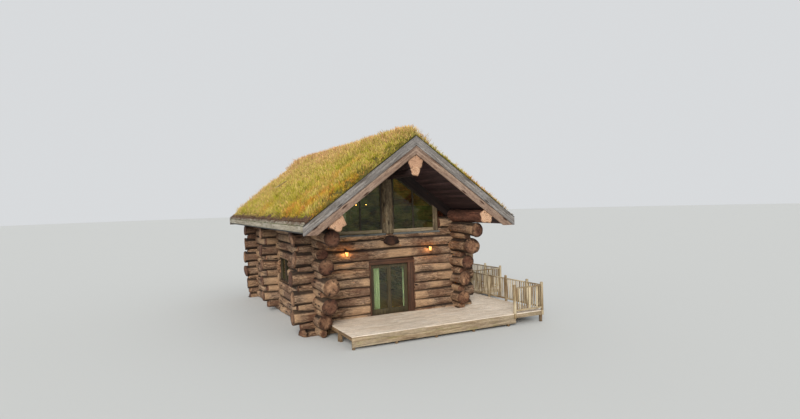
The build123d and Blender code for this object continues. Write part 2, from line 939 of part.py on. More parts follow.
deck_inset = deck_fascia_thickness
frame_front_edge = deck_front_y + deck_inset
side_frame_back_y = platform_front_y - fit_gap
side_low_x = half_spacing + max(front_log_right_ends[:3]) + deck_clearance
side_high_x = deck_right_x - deck_inset
frame_fields = (
    ((deck_left_x + deck_inset, frame_front_edge), (side_high_x, side_deck_start_y)),
    (
        (deck_left_x, side_deck_start_y + fit_gap),
        (-deck_left_x, deck_back_y - butt_swell - deck_clearance),
    ),
    ((side_low_x, side_deck_start_y + fit_gap), (side_high_x, side_frame_back_y)),
    (
        (log_clear_x, platform_front_y + deck_inset),
        (platform_right_x - deck_inset, platform_back_y - deck_inset),
    ),
)
save_solids([deck_frame(low, high) for low, high in frame_fields], "deck_frame")
post_solids = [post for low, high in frame_fields for post in deck_posts(low, high)]
save_solids(post_solids, "deck_posts")

boards_front = ((deck_left_x, deck_front_y), (deck_right_x, side_deck_start_y))
boards_door = ((-half_spacing, side_deck_start_y + fit_gap), (half_spacing, front_wall_y))
boards_side = (
    (half_spacing, side_deck_start_y + fit_gap),
    (deck_right_x, platform_front_y - fit_gap),
)
boards_platform = ((half_spacing, platform_front_y), (platform_right_x, platform_back_y))
deck_fields = {
    "deck_boards_front": (boards_front, boards_door),
    "deck_boards_side": (boards_side, boards_platform),
}
for name, fields in deck_fields.items():
    boards = [fitted(block((*low, deck_bottom), (*high, deck_top))) for low, high in fields]
    save_solids([main_solid(board) for board in boards], name)

fascia_top = deck_bottom - fit_gap
fascia_bottom = fascia_top - deck_fascia_height
lower_top = fascia_bottom - fit_gap
lower_bottom = lower_top - deck_lower_board_height
lower_board_end_x = front_rail_start_x + newel / 2
fascia_runs = (
    ((deck_left_x, deck_front_y), (deck_right_x, frame_front_edge - fit_gap)),
    ((side_high_x + fit_gap, frame_front_edge), (deck_right_x, platform_front_y - fit_gap)),
    (
        (deck_right_x + fit_gap, platform_front_y),
        (platform_right_x, platform_front_y + deck_inset - fit_gap),
    ),
    (
        (platform_right_x - deck_inset + fit_gap, platform_front_y + deck_inset),
        (platform_right_x, platform_back_y),
    ),
)
fascia_solids = [block((*low, fascia_bottom), (*high, fascia_top)).solid() for low, high in fascia_runs]
# a second board below the first, as far as the balustrade
lower_board = block(
    (deck_left_x, deck_front_y, lower_bottom),
    (lower_board_end_x, frame_front_edge - fit_gap, lower_top),
)
save_solids([*fascia_solids, lower_board.solid()], "deck_fascia")


# Balustrade panels between newel posts
def along(axis_x, start, end, across, half_width, bottom, top):
    if axis_x:
        return block((start, across - half_width, bottom), (end, across + half_width, top))
    return block((across - half_width, start, bottom), (across + half_width, end, top))


def balustrade(axis_x, edge, outward, posts, rail_from=None):
    # newels at the given places, each notched over the deck's edge, with rails and balusters
    # between them; rail_from is where the rails start at another panel's newel
    half = newel / 2
    across = edge + outward * (newel_overhang - half)
    leg = sorted((edge + outward * fit_gap, edge + outward * newel_overhang))
    leg_middle = sum(leg) / 2
    leg_half = (leg[1] - leg[0]) / 2
    rail_top = deck_top + rail_height
    stops = posts if rail_from is None else [rail_from, *posts]
    with BuildPart() as panel:
        for place in posts:
            add(along(axis_x, place - half, place + half, across, half, deck_top, newel_top))
            add(along(axis_x, place - half, place + half, leg_middle, leg_half, fascia_bottom, deck_top))
        for start, end in zip(stops, stops[1:]):
            add(along(axis_x, start, end, across, rail_width / 2, rail_top - rail_thickness, rail_top))
            add(along(axis_x, start, end, across, rail_thickness / 2, low_rail, low_rail + rail_width))
            for place in spaced(start, end, baluster_pitch)[1:-1]:
                ends = (place - baluster / 2, place + baluster / 2)
                add(along(axis_x, *ends, across, baluster / 2, low_rail, rail_top))
    return panel.part.solid()


newel_top = deck_top + newel_rise
low_rail = deck_top + bottom_rail_gap
front_posts = [front_rail_start_x, deck_right_x - newel / 2]
save_solids([balustrade(True, deck_front_y, -1, front_posts)], "balustrade_front")
newel_back = newel - newel_overhang + fit_gap  # from the deck's edge to just behind a newel
side_posts = [*side_newel_places, platform_front_y - newel]
side_panel = balustrade(False, deck_right_x, 1, side_posts, deck_front_y + newel_back)
save_solids([side_panel], "balustrade_side")
platform_posts = [deck_right_x + newel / 2, platform_right_x - newel / 2]
platform_side_posts = [(platform_front_y + platform_back_y) / 2, platform_back_y - newel / 2]
platform_start = platform_front_y + newel_back
platform_panels = [
    balustrade(True, platform_front_y, -1, platform_posts),
    balustrade(False, platform_right_x, 1, platform_side_posts, platform_start),
]
save_solids(platform_panels, "balustrade_platform")

# Wall lanterns
lantern_bottom = lantern_height - lantern_body_height / 2
lantern_top = lantern_height + lantern_body_height / 2
arm_z = lantern_top + lantern_cap_height / 3
half_arm = lantern_arm / 2
lanterns = []
for lantern_x in lantern_xs:
    with BuildPart() as lantern:
        with BuildSketch(Plane((lantern_x, lantern_y, lantern_bottom))):
            RegularPolygon(lantern_foot_radius, lantern_sides)
        with BuildSketch(Plane((lantern_x, lantern_y, lantern_top))):
            RegularPolygon(lantern_radius, lantern_sides)
        loft()
        with BuildSketch(Plane((lantern_x, lantern_y, lantern_top))):
            RegularPolygon(lantern_cap_radius, lantern_sides)
        extrude(amount=lantern_cap_height, taper=lantern_cap_taper)
        add(
            block(
                (lantern_x - half_arm, lantern_y, arm_z - half_arm),
                (lantern_x + half_arm, front_wall_y, arm_z + half_arm),
            )
        )
    lanterns.append(fitted(lantern.part).solids().sort_by(Axis.Y)[0])
save_solids(lanterns, "lanterns")
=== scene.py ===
import math
import random

import bmesh
import bpy
import numpy as np
from mathutils import Matrix, Vector


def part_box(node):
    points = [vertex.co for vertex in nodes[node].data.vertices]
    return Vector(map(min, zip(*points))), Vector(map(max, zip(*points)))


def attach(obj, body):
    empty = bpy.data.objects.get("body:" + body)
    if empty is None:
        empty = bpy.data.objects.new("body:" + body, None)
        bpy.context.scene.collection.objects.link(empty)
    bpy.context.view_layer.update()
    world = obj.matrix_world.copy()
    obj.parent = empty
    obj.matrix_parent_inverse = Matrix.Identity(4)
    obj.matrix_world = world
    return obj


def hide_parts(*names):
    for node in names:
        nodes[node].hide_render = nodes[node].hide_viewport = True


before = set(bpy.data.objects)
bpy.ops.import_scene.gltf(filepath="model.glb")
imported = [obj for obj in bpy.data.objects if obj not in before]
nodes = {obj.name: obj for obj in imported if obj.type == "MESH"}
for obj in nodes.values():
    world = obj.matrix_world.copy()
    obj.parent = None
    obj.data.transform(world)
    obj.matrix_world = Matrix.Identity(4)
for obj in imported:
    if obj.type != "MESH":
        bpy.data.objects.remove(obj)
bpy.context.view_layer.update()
scene = bpy.context.scene
chance = random.Random(7)
finishes = {}  # every material by its name

# The roof's driving sizes, in metres
roof = {
    "apex": 7.91,  # height of the bargeboards' top edges at the ridge
    "slope": math.tan(math.radians(35.9)), "pitch": 35.9, "slabDrop": 0.02,
    "eaveX": 4.61, "frontY": -2.87, "backY": 13.50,
}
bothSides = (("left", -1), ("right", 1))
bothGables = ((roof["frontY"], -1), (roof["backY"], 1))  # face and outward direction


def roofLine(depth, x):
    return roof["apex"] - depth - roof["slope"] * abs(x)


# Small helpers for objects
def clearSelection():
    if bpy.context.object and bpy.context.object.mode != "OBJECT":
        bpy.ops.object.mode_set(mode="OBJECT")
    bpy.ops.object.select_all(action="DESELECT")


def pick(piece):
    clearSelection()
    piece.select_set(True)
    bpy.context.view_layer.objects.active = piece


def linked(name, mesh):
    made = bpy.data.objects.new(name, mesh)
    scene.collection.objects.link(made)
    return made


def copyPiece(piece, name):
    return linked(name, piece.data.copy())


def joined(pieces, name):
    pick(pieces[0])
    for piece in pieces:
        piece.select_set(True)
    if len(pieces) > 1:
        bpy.ops.object.join()
    made = bpy.context.object
    made.name = made.data.name = name
    return made


def drop(*pieces):
    for piece in pieces:
        mesh = piece.data
        bpy.data.objects.remove(piece)
        bpy.data.meshes.remove(mesh)


def settle(piece, slot, replaced=(), body="cabin"):
    # the finished piece, with its place in its mesh
    pick(piece)
    bpy.ops.object.transform_apply(location=True, rotation=True, scale=True)
    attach(piece, body)
    if replaced:
        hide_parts(*replaced)
    clearSelection()


def coat(piece, *names):
    # clearing the slots would put every face back in the first one
    numbers = np.zeros(len(piece.data.polygons), int)
    piece.data.polygons.foreach_get("material_index", numbers)
    piece.data.materials.clear()
    for name in names:
        piece.data.materials.append(finishes[name])
    piece.data.polygons.foreach_set("material_index", np.minimum(numbers, len(names) - 1))


def dress(piece, finish, slot, replaced=(), body="cabin"):
    coat(piece, finish)
    settle(piece, slot, replaced, body)


def points(piece):
    flat = np.empty(3 * len(piece.data.vertices))
    piece.data.vertices.foreach_get("co", flat)
    return flat.reshape(-1, 3)


def setPoints(piece, places):
    piece.data.vertices.foreach_set("co", np.ascontiguousarray(places, dtype=np.float32).ravel())
    piece.data.update()


def editOnly(piece, kind, test):
    # edit mode, with only the edges or faces selected that pass the test
    pick(piece)
    bpy.ops.object.mode_set(mode="EDIT")
    bpy.ops.mesh.select_mode(type=kind)
    bpy.ops.mesh.select_all(action="DESELECT")
    mesh = bmesh.from_edit_mesh(piece.data)
    for part in mesh.edges if kind == "EDGE" else mesh.faces:
        part.select = test(part)
    bmesh.update_edit_mesh(piece.data)


def editAll(piece, *steps):
    pick(piece)
    bpy.ops.object.mode_set(mode="EDIT")
    bpy.ops.mesh.select_all(action="SELECT")
    for operator, values in steps:
        operator(**values)
    bpy.ops.object.mode_set(mode="OBJECT")


def turnOutward(piece):
    editAll(piece, (bpy.ops.mesh.normals_make_consistent, {"inside": False}))


def bevelEdges(piece, width, segments=2):
    pick(piece)
    bevel = piece.modifiers.new("softEdges", "BEVEL")
    bevel.width, bevel.segments = width, segments
    bevel.limit_method, bevel.angle_limit = "ANGLE", math.radians(30)
    bpy.ops.object.modifier_apply(modifier="softEdges")
    bpy.ops.object.shade_smooth_by_angle(angle=math.radians(35))


def roundOff(piece):
    pick(piece)
    smooth = piece.modifiers.new("round", "SUBSURF")
    smooth.levels = smooth.render_levels = 2
    bpy.ops.object.modifier_apply(modifier="round")
    bpy.ops.object.shade_smooth()
    return piece


def softCopy(nodeName, width):
    # a CAD piece with its flat faces merged and its edges eased
    piece = copyPiece(nodes[nodeName], nodeName + "_eased")
    editAll(piece, (bpy.ops.mesh.remove_doubles, {"threshold": 0.00005}),
            (bpy.ops.mesh.dissolve_limited, {"angle_limit": math.radians(0.5)}))
    bevelEdges(piece, width)
    return piece


def block(low, high):
    clearSelection()
    bpy.ops.mesh.primitive_cube_add(size=1, location=[(a + b) / 2 for a, b in zip(low, high)])
    made = bpy.context.object
    made.scale = [b - a for a, b in zip(low, high)]
    bpy.ops.object.transform_apply(location=True, rotation=True, scale=True)
    return made


def cutCylinder(sides, cuts, axis=2, **place):
    # a unit cylinder, its long edges cut into even lengths
    clearSelection()
    bpy.ops.mesh.primitive_cylinder_add(vertices=sides, radius=1, depth=1, **place)
    form = bpy.context.object
    bpy.ops.object.transform_apply(location=True, rotation=True, scale=True)
    editOnly(form, "EDGE", lambda edge: abs(edge.verts[0].co[axis] - edge.verts[1].co[axis]) > 0.5)
    if cuts:
        bpy.ops.mesh.subdivide(number_cuts=cuts)
    bpy.ops.object.mode_set(mode="OBJECT")
    return form


def separateBodies(mesh):
    # the vertex numbers of each separate body
    mesh.verts.index_update()
    seen = np.zeros(len(mesh.verts), bool)
    for first in mesh.verts:
        if seen[first.index]:
            continue
        seen[first.index] = True
        stack, group = [first], []
        while stack:
            vert = stack.pop()
            group.append(vert.index)
            for edge in vert.link_edges:
                other = edge.other_vert(vert)
                if not seen[other.index]:
                    seen[other.index] = True
                    stack.append(other)
        yield np.array(group)


def islands(piece):
    mesh = bmesh.new()
    mesh.from_mesh(piece.data)
    found = list(separateBodies(mesh))
    mesh.free()
    return found


def solidsOf(nodeName):
    # the corner points of each solid in a CAD node
    mesh = bmesh.new()
    mesh.from_mesh(nodes[nodeName].data)
    bmesh.ops.remove_doubles(mesh, verts=mesh.verts, dist=0.00005)
    places = np.array([tuple(vert.co) for vert in mesh.verts])
    solids = [places[group] for group in separateBodies(mesh)]
    mesh.free()
    return solids


def setVector(piece, name, values):
    attribute = piece.data.attributes.new(name, "FLOAT_VECTOR", "POINT")
    attribute.data.foreach_set("vector", np.ascontiguousarray(values, dtype=np.float32).ravel())


def grainByLength(piece):
    # the grain runs along the longest side of each board, and no two boards match
    places = points(piece)
    values = np.zeros_like(places)
    for group in islands(piece):
        own = places[group]
        order = np.argsort(-(own.max(0) - own.min(0)))
        values[group] = (own - own.mean(0))[:, order]
        values[group, 0] += chance.uniform(0, 80)
        values[group, 1:] += chance.uniform(0, 9)
    setVector(piece, "grainPlace", values)


def finishBoards(boards, name, finish, slot, replaced=(), bevel=0.003, segments=2, grain=True):
    piece = joined(boards, name)
    bevelEdges(piece, bevel, segments)
    if grain:
        grainByLength(piece)
    dress(piece, finish, slot, replaced)


# Small helpers for materials
def paint(red, green, blue):
    # a colour read in 0-255 steps, as a linear colour
    shares = [value / 255 for value in (red, green, blue)]
    return (*[s / 12.92 if s <= 0.04045 else ((s + 0.055) / 1.055) ** 2.4 for s in shares], 1.0)


def feed(tree, socket, value):
    if isinstance(value, bpy.types.NodeSocket):
        tree.links.new(value, socket)
    else:
        socket.default_value = value


def addNode(tree, kind, inputs=None, **settings):
    node = tree.nodes.new("ShaderNode" + kind)
    for key, value in settings.items():
        setattr(node, key, value)
    for key, value in (inputs or {}).items():
        feed(tree, node.inputs[key], value)
    return node


def calc(tree, operation, first, second=0.5, clamp=False):
    return addNode(tree, "Math", {0: first, 1: second}, operation=operation, use_clamp=clamp).outputs[0]


def times(tree, first, second):
    return calc(tree, "MULTIPLY", first, second)


def mixColors(tree, share, first, second, blend="MIX"):
    values = {0: share, 6: first, 7: second}
    return addNode(tree, "Mix", values, data_type="RGBA", blend_type=blend, clamp_factor=True).outputs[2]


def stained(tree, color, mask, share, other):
    return mixColors(tree, times(tree, mask, share), color, other)


def spread(tree, value, low, high, outLow=0.0, outHigh=1.0):
    values = {"Value": value, "From Min": low, "From Max": high, "To Min": outLow, "To Max": outHigh}
    return addNode(tree, "MapRange", values, clamp=True).outputs[0]


def noise(tree, vector, scale, detail=4.0, rough=0.55, distortion=0.0):
    values = {"Vector": vector, "Scale": scale, "Detail": detail, "Roughness": rough,
              "Distortion": distortion}
    return addNode(tree, "TexNoise", values).outputs[0]


def noiseAlong(tree, place, detail):
    values = {"W": place, "Detail": detail}
    return addNode(tree, "TexNoise", values, noise_dimensions="1D").outputs["Fac"]


def ramp(tree, value, *stops):
    node = addNode(tree, "ValToRGB", {"Fac": value})
    while len(node.color_ramp.elements) < len(stops):
        node.color_ramp.elements.new(0.5)
    for element, (place, color) in zip(node.color_ramp.elements, stops):
        element.position, element.color = place, color
    return node.outputs[0]


def stretched(tree, vector, scales):
    return addNode(tree, "Mapping", {"Vector": vector, "Scale": scales}).outputs[0]


def separated(tree, vector):
    return addNode(tree, "SeparateXYZ", {"Vector": vector}).outputs


def combined(tree, x, y, z=0.0):
    return addNode(tree, "CombineXYZ", {"X": x, "Y": y, "Z": z}).outputs[0]


def addBump(tree, sockets, height, strength, distance):
    values = {"Height": height, "Strength": strength, "Distance": distance}
    feed(tree, sockets["Normal"], addNode(tree, "Bump", values).outputs[0])


def newGroup(name, inputs, outputs):
    group = bpy.data.node_groups.new(name, "ShaderNodeTree")
    group.interface.new_socket(name="Vector", in_out="INPUT", socket_type="NodeSocketVector")
    for label, value in inputs.items():
        socket = group.interface.new_socket(name=label, in_out="INPUT", socket_type="NodeSocketFloat")
        socket.default_value = value
    for label in outputs:
        group.interface.new_socket(name=label, in_out="OUTPUT", socket_type="NodeSocketFloat")
    return group, group.nodes.new("NodeGroupInput").outputs, group.nodes.new("NodeGroupOutput").inputs


def makeGrain():
    # sawn or round wood, with its grain along the vector's X
    group, given, out = newGroup("woodGrain", {"Plank Width": 0.15, "Knots": 0.5},
                                 ["Plank", "Streak", "Fine", "Knot", "Gap", "Height"])
    parts = separated(group, given["Vector"])
    across = calc(group, "DIVIDE", parts[1], given["Plank Width"])
    number = calc(group, "FLOOR", across)
    plank = addNode(group, "TexWhiteNoise", {"W": number}, noise_dimensions="1D").outputs[0]
    fromMiddle = calc(group, "ABSOLUTE", calc(group, "SUBTRACT", calc(group, "FRACT", across), 0.5))
    edge = times(group, calc(group, "SUBTRACT", 0.5, fromMiddle), given["Plank Width"])
    shift = times(group, plank, 37.0)
    moved = combined(group, calc(group, "ADD", parts[0], shift), parts[1],
                     calc(group, "ADD", parts[2], shift))
    streak = noise(group, stretched(group, moved, (0.55, 9.0, 9.0)), 1.6, 5.0, 0.6, 0.6)
    fine = noise(group, stretched(group, moved, (2.0, 70.0, 70.0)), 1.3, 4.0, 0.7)
    cells = addNode(group, "TexVoronoi", {
        "Vector": stretched(group, moved, (1.1, 4.5, 4.5)), "Scale": 1.0, "Randomness": 1.0})
    knot = spread(group, cells.outputs["Distance"], 0.20, 0.09)
    knot = calc(group, "MULTIPLY", knot, given["Knots"], clamp=True)
    gap = spread(group, edge, 0.006, 0.001)
    height = calc(group, "ADD", times(group, streak, 0.6), times(group, fine, 0.55))
    height = calc(group, "SUBTRACT", height, times(group, gap, 1.5))
    height = calc(group, "ADD", height, times(group, knot, 0.5))
    for label, value in (("Plank", plank), ("Streak", streak), ("Fine", fine), ("Knot", knot), ("Gap", gap),
                         ("Height", height)):
        group.links.new(value, out[label])
    return group


def makeWeather():
    # broad stains, small specks and patches of growth
    group, given, out = newGroup("weathering", {"Scale": 1.0}, ["Patch", "Speck", "Growth", "Relief"])
    sized = addNode(group, "VectorMath", {0: given["Vector"], "Scale": given["Scale"]}, operation="SCALE")
    vector = sized.outputs[0]
    patch = noise(group, vector, 1.1, 6.0, 0.62, 0.8)
    speck = noise(group, vector, 17.0, 3.0, 0.75, 1.2)
    growth = noise(group, vector, 3.4, 7.0, 0.7, 0.3)
    relief = calc(group, "ADD", times(group, speck, 0.5), times(group, growth, 0.5))
    for label, value in (("Patch", spread(group, patch, 0.36, 0.64)),
                         ("Speck", spread(group, speck, 0.42, 0.68)),
                         ("Growth", spread(group, growth, 0.48, 0.66)), ("Relief", relief)):
        group.links.new(value, out[label])
    return group


woodGrain = makeGrain()
weathering = makeWeather()


def grainVector(tree, along):
    # the piece's own coordinates, turned so that the grain runs along X
    if along == "own":
        return addNode(tree, "Attribute", attribute_name="grainPlace").outputs["Vector"]
    place = addNode(tree, "TexCoord").outputs["Object"]
    if along == "object":
        return place
    if along == "slope":
        parts = separated(tree, place)
        place = combined(tree, calc(tree, "ABSOLUTE", parts[0]), parts[1], parts[2])
    turns = {"y": (0, 0, -90), "z": (0, 90, 0), "slope": (0, -roof["pitch"], 0)}
    turn = [math.radians(angle) for angle in turns[along]]
    return addNode(tree, "Mapping", {"Vector": place, "Rotation": turn}).outputs[0]


def startFinish(name, along="object", scale=None, stretch=None):
    # a new material: its tree, its shader's sockets, its coordinates and its weathering
    material = finishes[name] = bpy.data.materials.new(name)
    material.use_nodes = True
    tree = material.node_tree
    vector = grainVector(tree, along)
    weather = None
    if scale:
        group = addNode(tree, "Group", node_tree=weathering)
        feed(tree, group.inputs["Vector"], stretched(tree, vector, stretch) if stretch else vector)
        group.inputs["Scale"].default_value = scale
        weather = group.outputs
    return tree, tree.nodes["Principled BSDF"].inputs, vector, weather


def timber(name, along, colors, own):
    # a wood finish: dark and pale grain, grey weathering, stains, knots and cracks
    look = {"plank": 40.0, "plankTone": 0.3, "knots": 0.6, "stretch": (0.5, 1.0, 1.0), "scale": 1.0,
            "grey": 0.4, "speck": 0.2, "fine": 0.35, "rough": 0.75, "pitted": 0.4, "bump": 0.5,
            "deep": 0.012, **own}
    dark, middle, pale, weathered, stain = (paint(*color) for color in colors)
    tree, sockets, vector, weather = startFinish(name, along, look["scale"], look["stretch"])
    grain = addNode(tree, "Group", node_tree=woodGrain)
    feed(tree, grain.inputs["Vector"], vector)
    grain.inputs["Plank Width"].default_value = look["plank"]
    grain.inputs["Knots"].default_value = look["knots"]
    grain = grain.outputs
    color = ramp(tree, grain["Streak"], (0.30, dark), (0.5, middle), (0.70, pale))
    tone = spread(tree, grain["Plank"], 0.0, 1.0, 1.0 - look["plankTone"], 1.0 + look["plankTone"] / 2)
    color = mixColors(tree, 1.0, color, tone, "MULTIPLY")
    color = stained(tree, color, weather["Patch"], look["grey"], weathered)
    color = stained(tree, color, weather["Speck"], look["speck"], stain)
    if "flake" in look:
        flake = noise(tree, stretched(tree, vector, (3.2, 12.0, 12.0)), 1.0, 5.0, 0.7, 1.2)
        color = mixColors(tree, spread(tree, flake, 0.52, 0.62, 0.0, look["flake"]), color, pale)
        color = mixColors(tree, spread(tree, flake, 0.46, 0.36, 0.0, look["flake"]), color, dark)
    if "ownTone" in look:
        # each log has a tone of its own
        tone = noiseAlong(tree, times(tree, separated(tree, vector)[0], 0.11), 1.0)
        for edges, shade in zip(((0.50, 0.62), (0.46, 0.36)), look["own"]):
            share = spread(tree, tone, *edges, 0.0, look["ownTone"])
            color = mixColors(tree, share, color, paint(*shade))
    fine = spread(tree, grain["Fine"], 0.3, 0.6, 1.0 - look["fine"], 1.12)
    color = mixColors(tree, 1.0, color, fine, "MULTIPLY")
    color = mixColors(tree, grain["Knot"], color, stain)
    if "moss" in look:
        color = stained(tree, color, weather["Growth"], look["moss"], paint(*look["mossColor"]))
    color = mixColors(tree, grain["Gap"], color, paint(18, 14, 12))
    if "seamShade" in look:
        # painted shade: the logs darken where one log lies on the next
        low, high, amount = look["seamShade"]
        reach = calc(tree, "ADD", calc(tree, "ABSOLUTE", separated(tree, vector)[2]),
                     times(tree, weather["Patch"], 0.02))
        color = mixColors(tree, spread(tree, reach, low, high, 0.0, amount), color, paint(16, 10, 8))
    feed(tree, sockets["Base Color"], color)
    rough = spread(tree, grain["Fine"], 0.3, 0.7, look["rough"], look["rough"] + 0.15)
    feed(tree, sockets["Roughness"], rough)
    height = calc(tree, "ADD", grain["Height"], times(tree, weather["Relief"], look["pitted"]))
    addBump(tree, sockets, height, look["bump"], look["deep"])
    sockets["Specular IOR Level"].default_value = 0.3


def endGrain(name, colors, look):
    # a sawn or axed log end, with rings and radial checks
    middle, pale, dark, stain, deep = (paint(*color) for color in colors)
    tree, sockets, vector, weather = startFinish(name, "own", 2.2)
    parts = separated(tree, vector)
    flat = combined(tree, parts[1], parts[2])
    wobble = noise(tree, flat, 5.0, 3.0, 0.6)
    distance = addNode(tree, "VectorMath", {0: flat}, operation="LENGTH").outputs["Value"]
    out = calc(tree, "ADD", distance, times(tree, wobble, 0.05))
    rings = calc(tree, "SINE", times(tree, out, look["rings"]))
    angle = calc(tree, "ARCTAN2", parts[1], parts[2])
    checkPlace = combined(tree, times(tree, angle, 1.5), times(tree, out, 2.4), parts[0])
    checks = spread(tree, noise(tree, checkPlace, 2.2, 3.0, 0.7), look["checked"], 0.66)
    color = mixColors(tree, spread(tree, rings, -1.0, 1.0), middle, pale)
    color = stained(tree, color, weather["Patch"], look["stained"], stain)
    ownTone = noiseAlong(tree, times(tree, parts[0], 0.7), 0.0)
    color = mixColors(tree, spread(tree, ownTone, 0.44, 0.56, 0.0, look["varied"]), color, deep)
    rim = spread(tree, distance, look["rim"], look["rim"] + 0.05, 0.0, look["rimShare"])
    color = mixColors(tree, rim, color, dark)
    color = stained(tree, color, weather["Speck"], 0.3, dark)
    color = stained(tree, color, checks, 0.85, paint(20, 13, 9))
    feed(tree, sockets["Base Color"], color)
    sockets["Roughness"].default_value = 0.8
    sockets["Specular IOR Level"].default_value = 0.25
    height = calc(tree, "SUBTRACT", times(tree, rings, 0.15), times(tree, checks, 1.2))
    height = calc(tree, "ADD", height, times(tree, weather["Relief"], 0.5))
    addBump(tree, sockets, height, 0.6, 0.012)


# Each wood: the grain's direction, the dark, middle, pale, weathered and stain colours, and its other values
woods = {
    "logWood": ("own", (58, 36, 25), (142, 98, 70), (222, 184, 144), (194, 168, 142), (24, 14, 10), {
        "grey": 0.6, "speck": 0.9, "fine": 0.5, "knots": 1.0, "stretch": (0.45, 1.5, 1.5), "scale": 0.8,
        # the seam values paint shade where one log lies on the next
        "pitted": 1.2, "bump": 1.0, "deep": 0.035, "rough": 0.8, "seamShade": (0.155, 0.205, 0.85), "flake": 0.46,
        "ownTone": 0.5, "own": ((204, 166, 128), (92, 58, 42))}),
    "plateWood": ("own", (46, 27, 22), (104, 64, 50), (164, 112, 88), (134, 100, 84), (18, 11, 9), {
        "flake": 0.4, "speck": 0.7, "fine": 0.4, "stretch": (0.35, 1.4, 1.4), "scale": 1.4, "pitted": 1.0,
        "bump": 0.7, "deep": 0.02}),
    "ridgeWood": ("own", (32, 22, 22), (58, 41, 40), (92, 68, 62), (74, 58, 54), (14, 10, 10), {
        "grey": 0.3, "flake": 0.3, "speck": 0.5, "rough": 0.7}),
    "postWood": ("own", (70, 56, 42), (128, 108, 82), (184, 164, 130), (150, 136, 108), (38, 26, 18), {
        "speck": 0.6, "fine": 0.55, "knots": 1.0, "stretch": (0.5, 1.6, 1.6), "scale": 1.2, "pitted": 0.8,
        "bump": 0.8, "deep": 0.02, "rough": 0.7, "flake": 0.45}),
    "sillWood": ("own", (60, 62, 60), (104, 106, 102), (150, 150, 144), (128, 130, 128), (40, 38, 34), {
        "grey": 0.5, "speck": 0.4, "rough": 0.7}),
    "roofBoards": ("y", (44, 31, 33), (74, 54, 56), (112, 86, 84), (94, 76, 76), (26, 18, 18), {
        "plank": 0.14, "plankTone": 0.6, "grey": 0.3, "speck": 0.3, "rough": 0.6}),
    "gableWood": ("slope", (26, 19, 18), (46, 34, 31), (72, 56, 50), (60, 50, 46), (16, 12, 11), {
        "grey": 0.3, "rough": 0.6}),
    "joinery": ("z", (38, 32, 24), (58, 49, 36), (84, 70, 52), (82, 74, 60), (24, 19, 14), {
        "grey": 0.25, "knots": 0.2, "rough": 0.5}),
    "doorWood": ("z", (44, 40, 26), (68, 60, 40), (92, 80, 54), (88, 80, 60), (30, 25, 16), {
        "grey": 0.2, "knots": 0.2, "rough": 0.48}),
    "redTimber": ("own", (34, 20, 14), (74, 46, 32), (114, 76, 54), (94, 74, 58), (22, 14, 11), {
        "grey": 0.3, "speck": 0.4, "rough": 0.65}),
    "bargeWood": ("slope", (76, 70, 66), (136, 128, 120), (192, 184, 176), (146, 144, 144), (52, 42, 36), {
        "grey": 0.55, "speck": 0.55, "fine": 0.5, "knots": 0.9, "rough": 0.8}),
    "lowerBargeWood": ("slope", (100, 74, 58), (162, 130, 108), (208, 180, 156), (172, 152, 138),
                       (66, 42, 30), {"grey": 0.45, "speck": 0.55, "fine": 0.5, "knots": 1.0}),
    "eaveWood": ("y", (100, 90, 76), (164, 152, 132), (214, 204, 184), (194, 188, 174), (60, 50, 38), {
        "grey": 0.6, "speck": 0.5, "moss": 0.25, "mossColor": (74, 84, 28), "rough": 0.85}),
    "deckWood": ("own", (178, 156, 130), (228, 210, 188), (250, 240, 226), (238, 228, 214), (126, 104, 84), {
        "grey": 0.5, "speck": 0.3, "fine": 0.3, "knots": 0.4}),
    "fasciaWood": ("own", (104, 84, 64), (156, 134, 106), (200, 180, 150), (178, 164, 142), (66, 50, 34), {
        "grey": 0.5, "speck": 0.4, "moss": 0.35, "mossColor": (112, 112, 44), "rough": 0.8}),
    "railWood": ("own", (96, 76, 48), (152, 128, 92), (212, 194, 158), (194, 182, 158), (58, 44, 28), {
        "grey": 0.5, "speck": 0.4, "ownTone": 0.6, "own": ((220, 204, 172), (120, 92, 60)), "knots": 0.5,
        "rough": 0.8}),
    "floorWood": ("y", (112, 74, 42), (156, 110, 66), (190, 144, 92), (160, 128, 90), (80, 50, 28), {
        "plank": 0.16, "grey": 0.1, "rough": 0.4}),
    "ceilingWood": ("y", (150, 92, 44), (196, 128, 68), (222, 160, 96), (190, 130, 80), (110, 62, 28), {
        "plank": 0.12, "grey": 0.1, "rough": 0.45}),
    "bearerWood": ("y", (92, 66, 42), (124, 94, 62), (158, 126, 88), (120, 108, 90), (54, 38, 24), {
        "grey": 0.5, "rough": 0.85}),
    "twigWood": ("y", (48, 30, 20), (96, 66, 48), (150, 122, 98), (140, 120, 104), (30, 18, 12), {
        "grey": 0.5, "speck": 0.5, "rough": 0.85}),
}
for name, (along, *colors, own) in woods.items():
    timber(name, along, colors, own)

# Each log end: its middle, pale, dark, stain and deep colours, and its pattern
ends = {
    "logEnds": ((142, 98, 70), (206, 166, 128), (40, 24, 17), (86, 52, 38), (84, 48, 36), {
        "stained": 0.9, "rings": 230.0, "rim": 0.20, "rimShare": 0.5, "varied": 0.7, "checked": 0.50}),
    "darkEnds": ((58, 36, 26), (104, 68, 48), (30, 18, 13), (36, 22, 16), (40, 24, 18), {
        "stained": 0.9, "rings": 160.0, "rim": 0.16, "rimShare": 0.6, "varied": 0.5, "checked": 0.52}),
    "carvedEnds": ((186, 144, 112), (222, 188, 156), (104, 70, 50), (164, 118, 90), (172, 132, 106), {
        "stained": 0.6, "rings": 90.0, "rim": 0.30, "rimShare": 0.4, "varied": 0.5, "checked": 0.6}),
}
for name, (*colors, own) in ends.items():
    endGrain(name, colors, own)
print("wood materials ready")


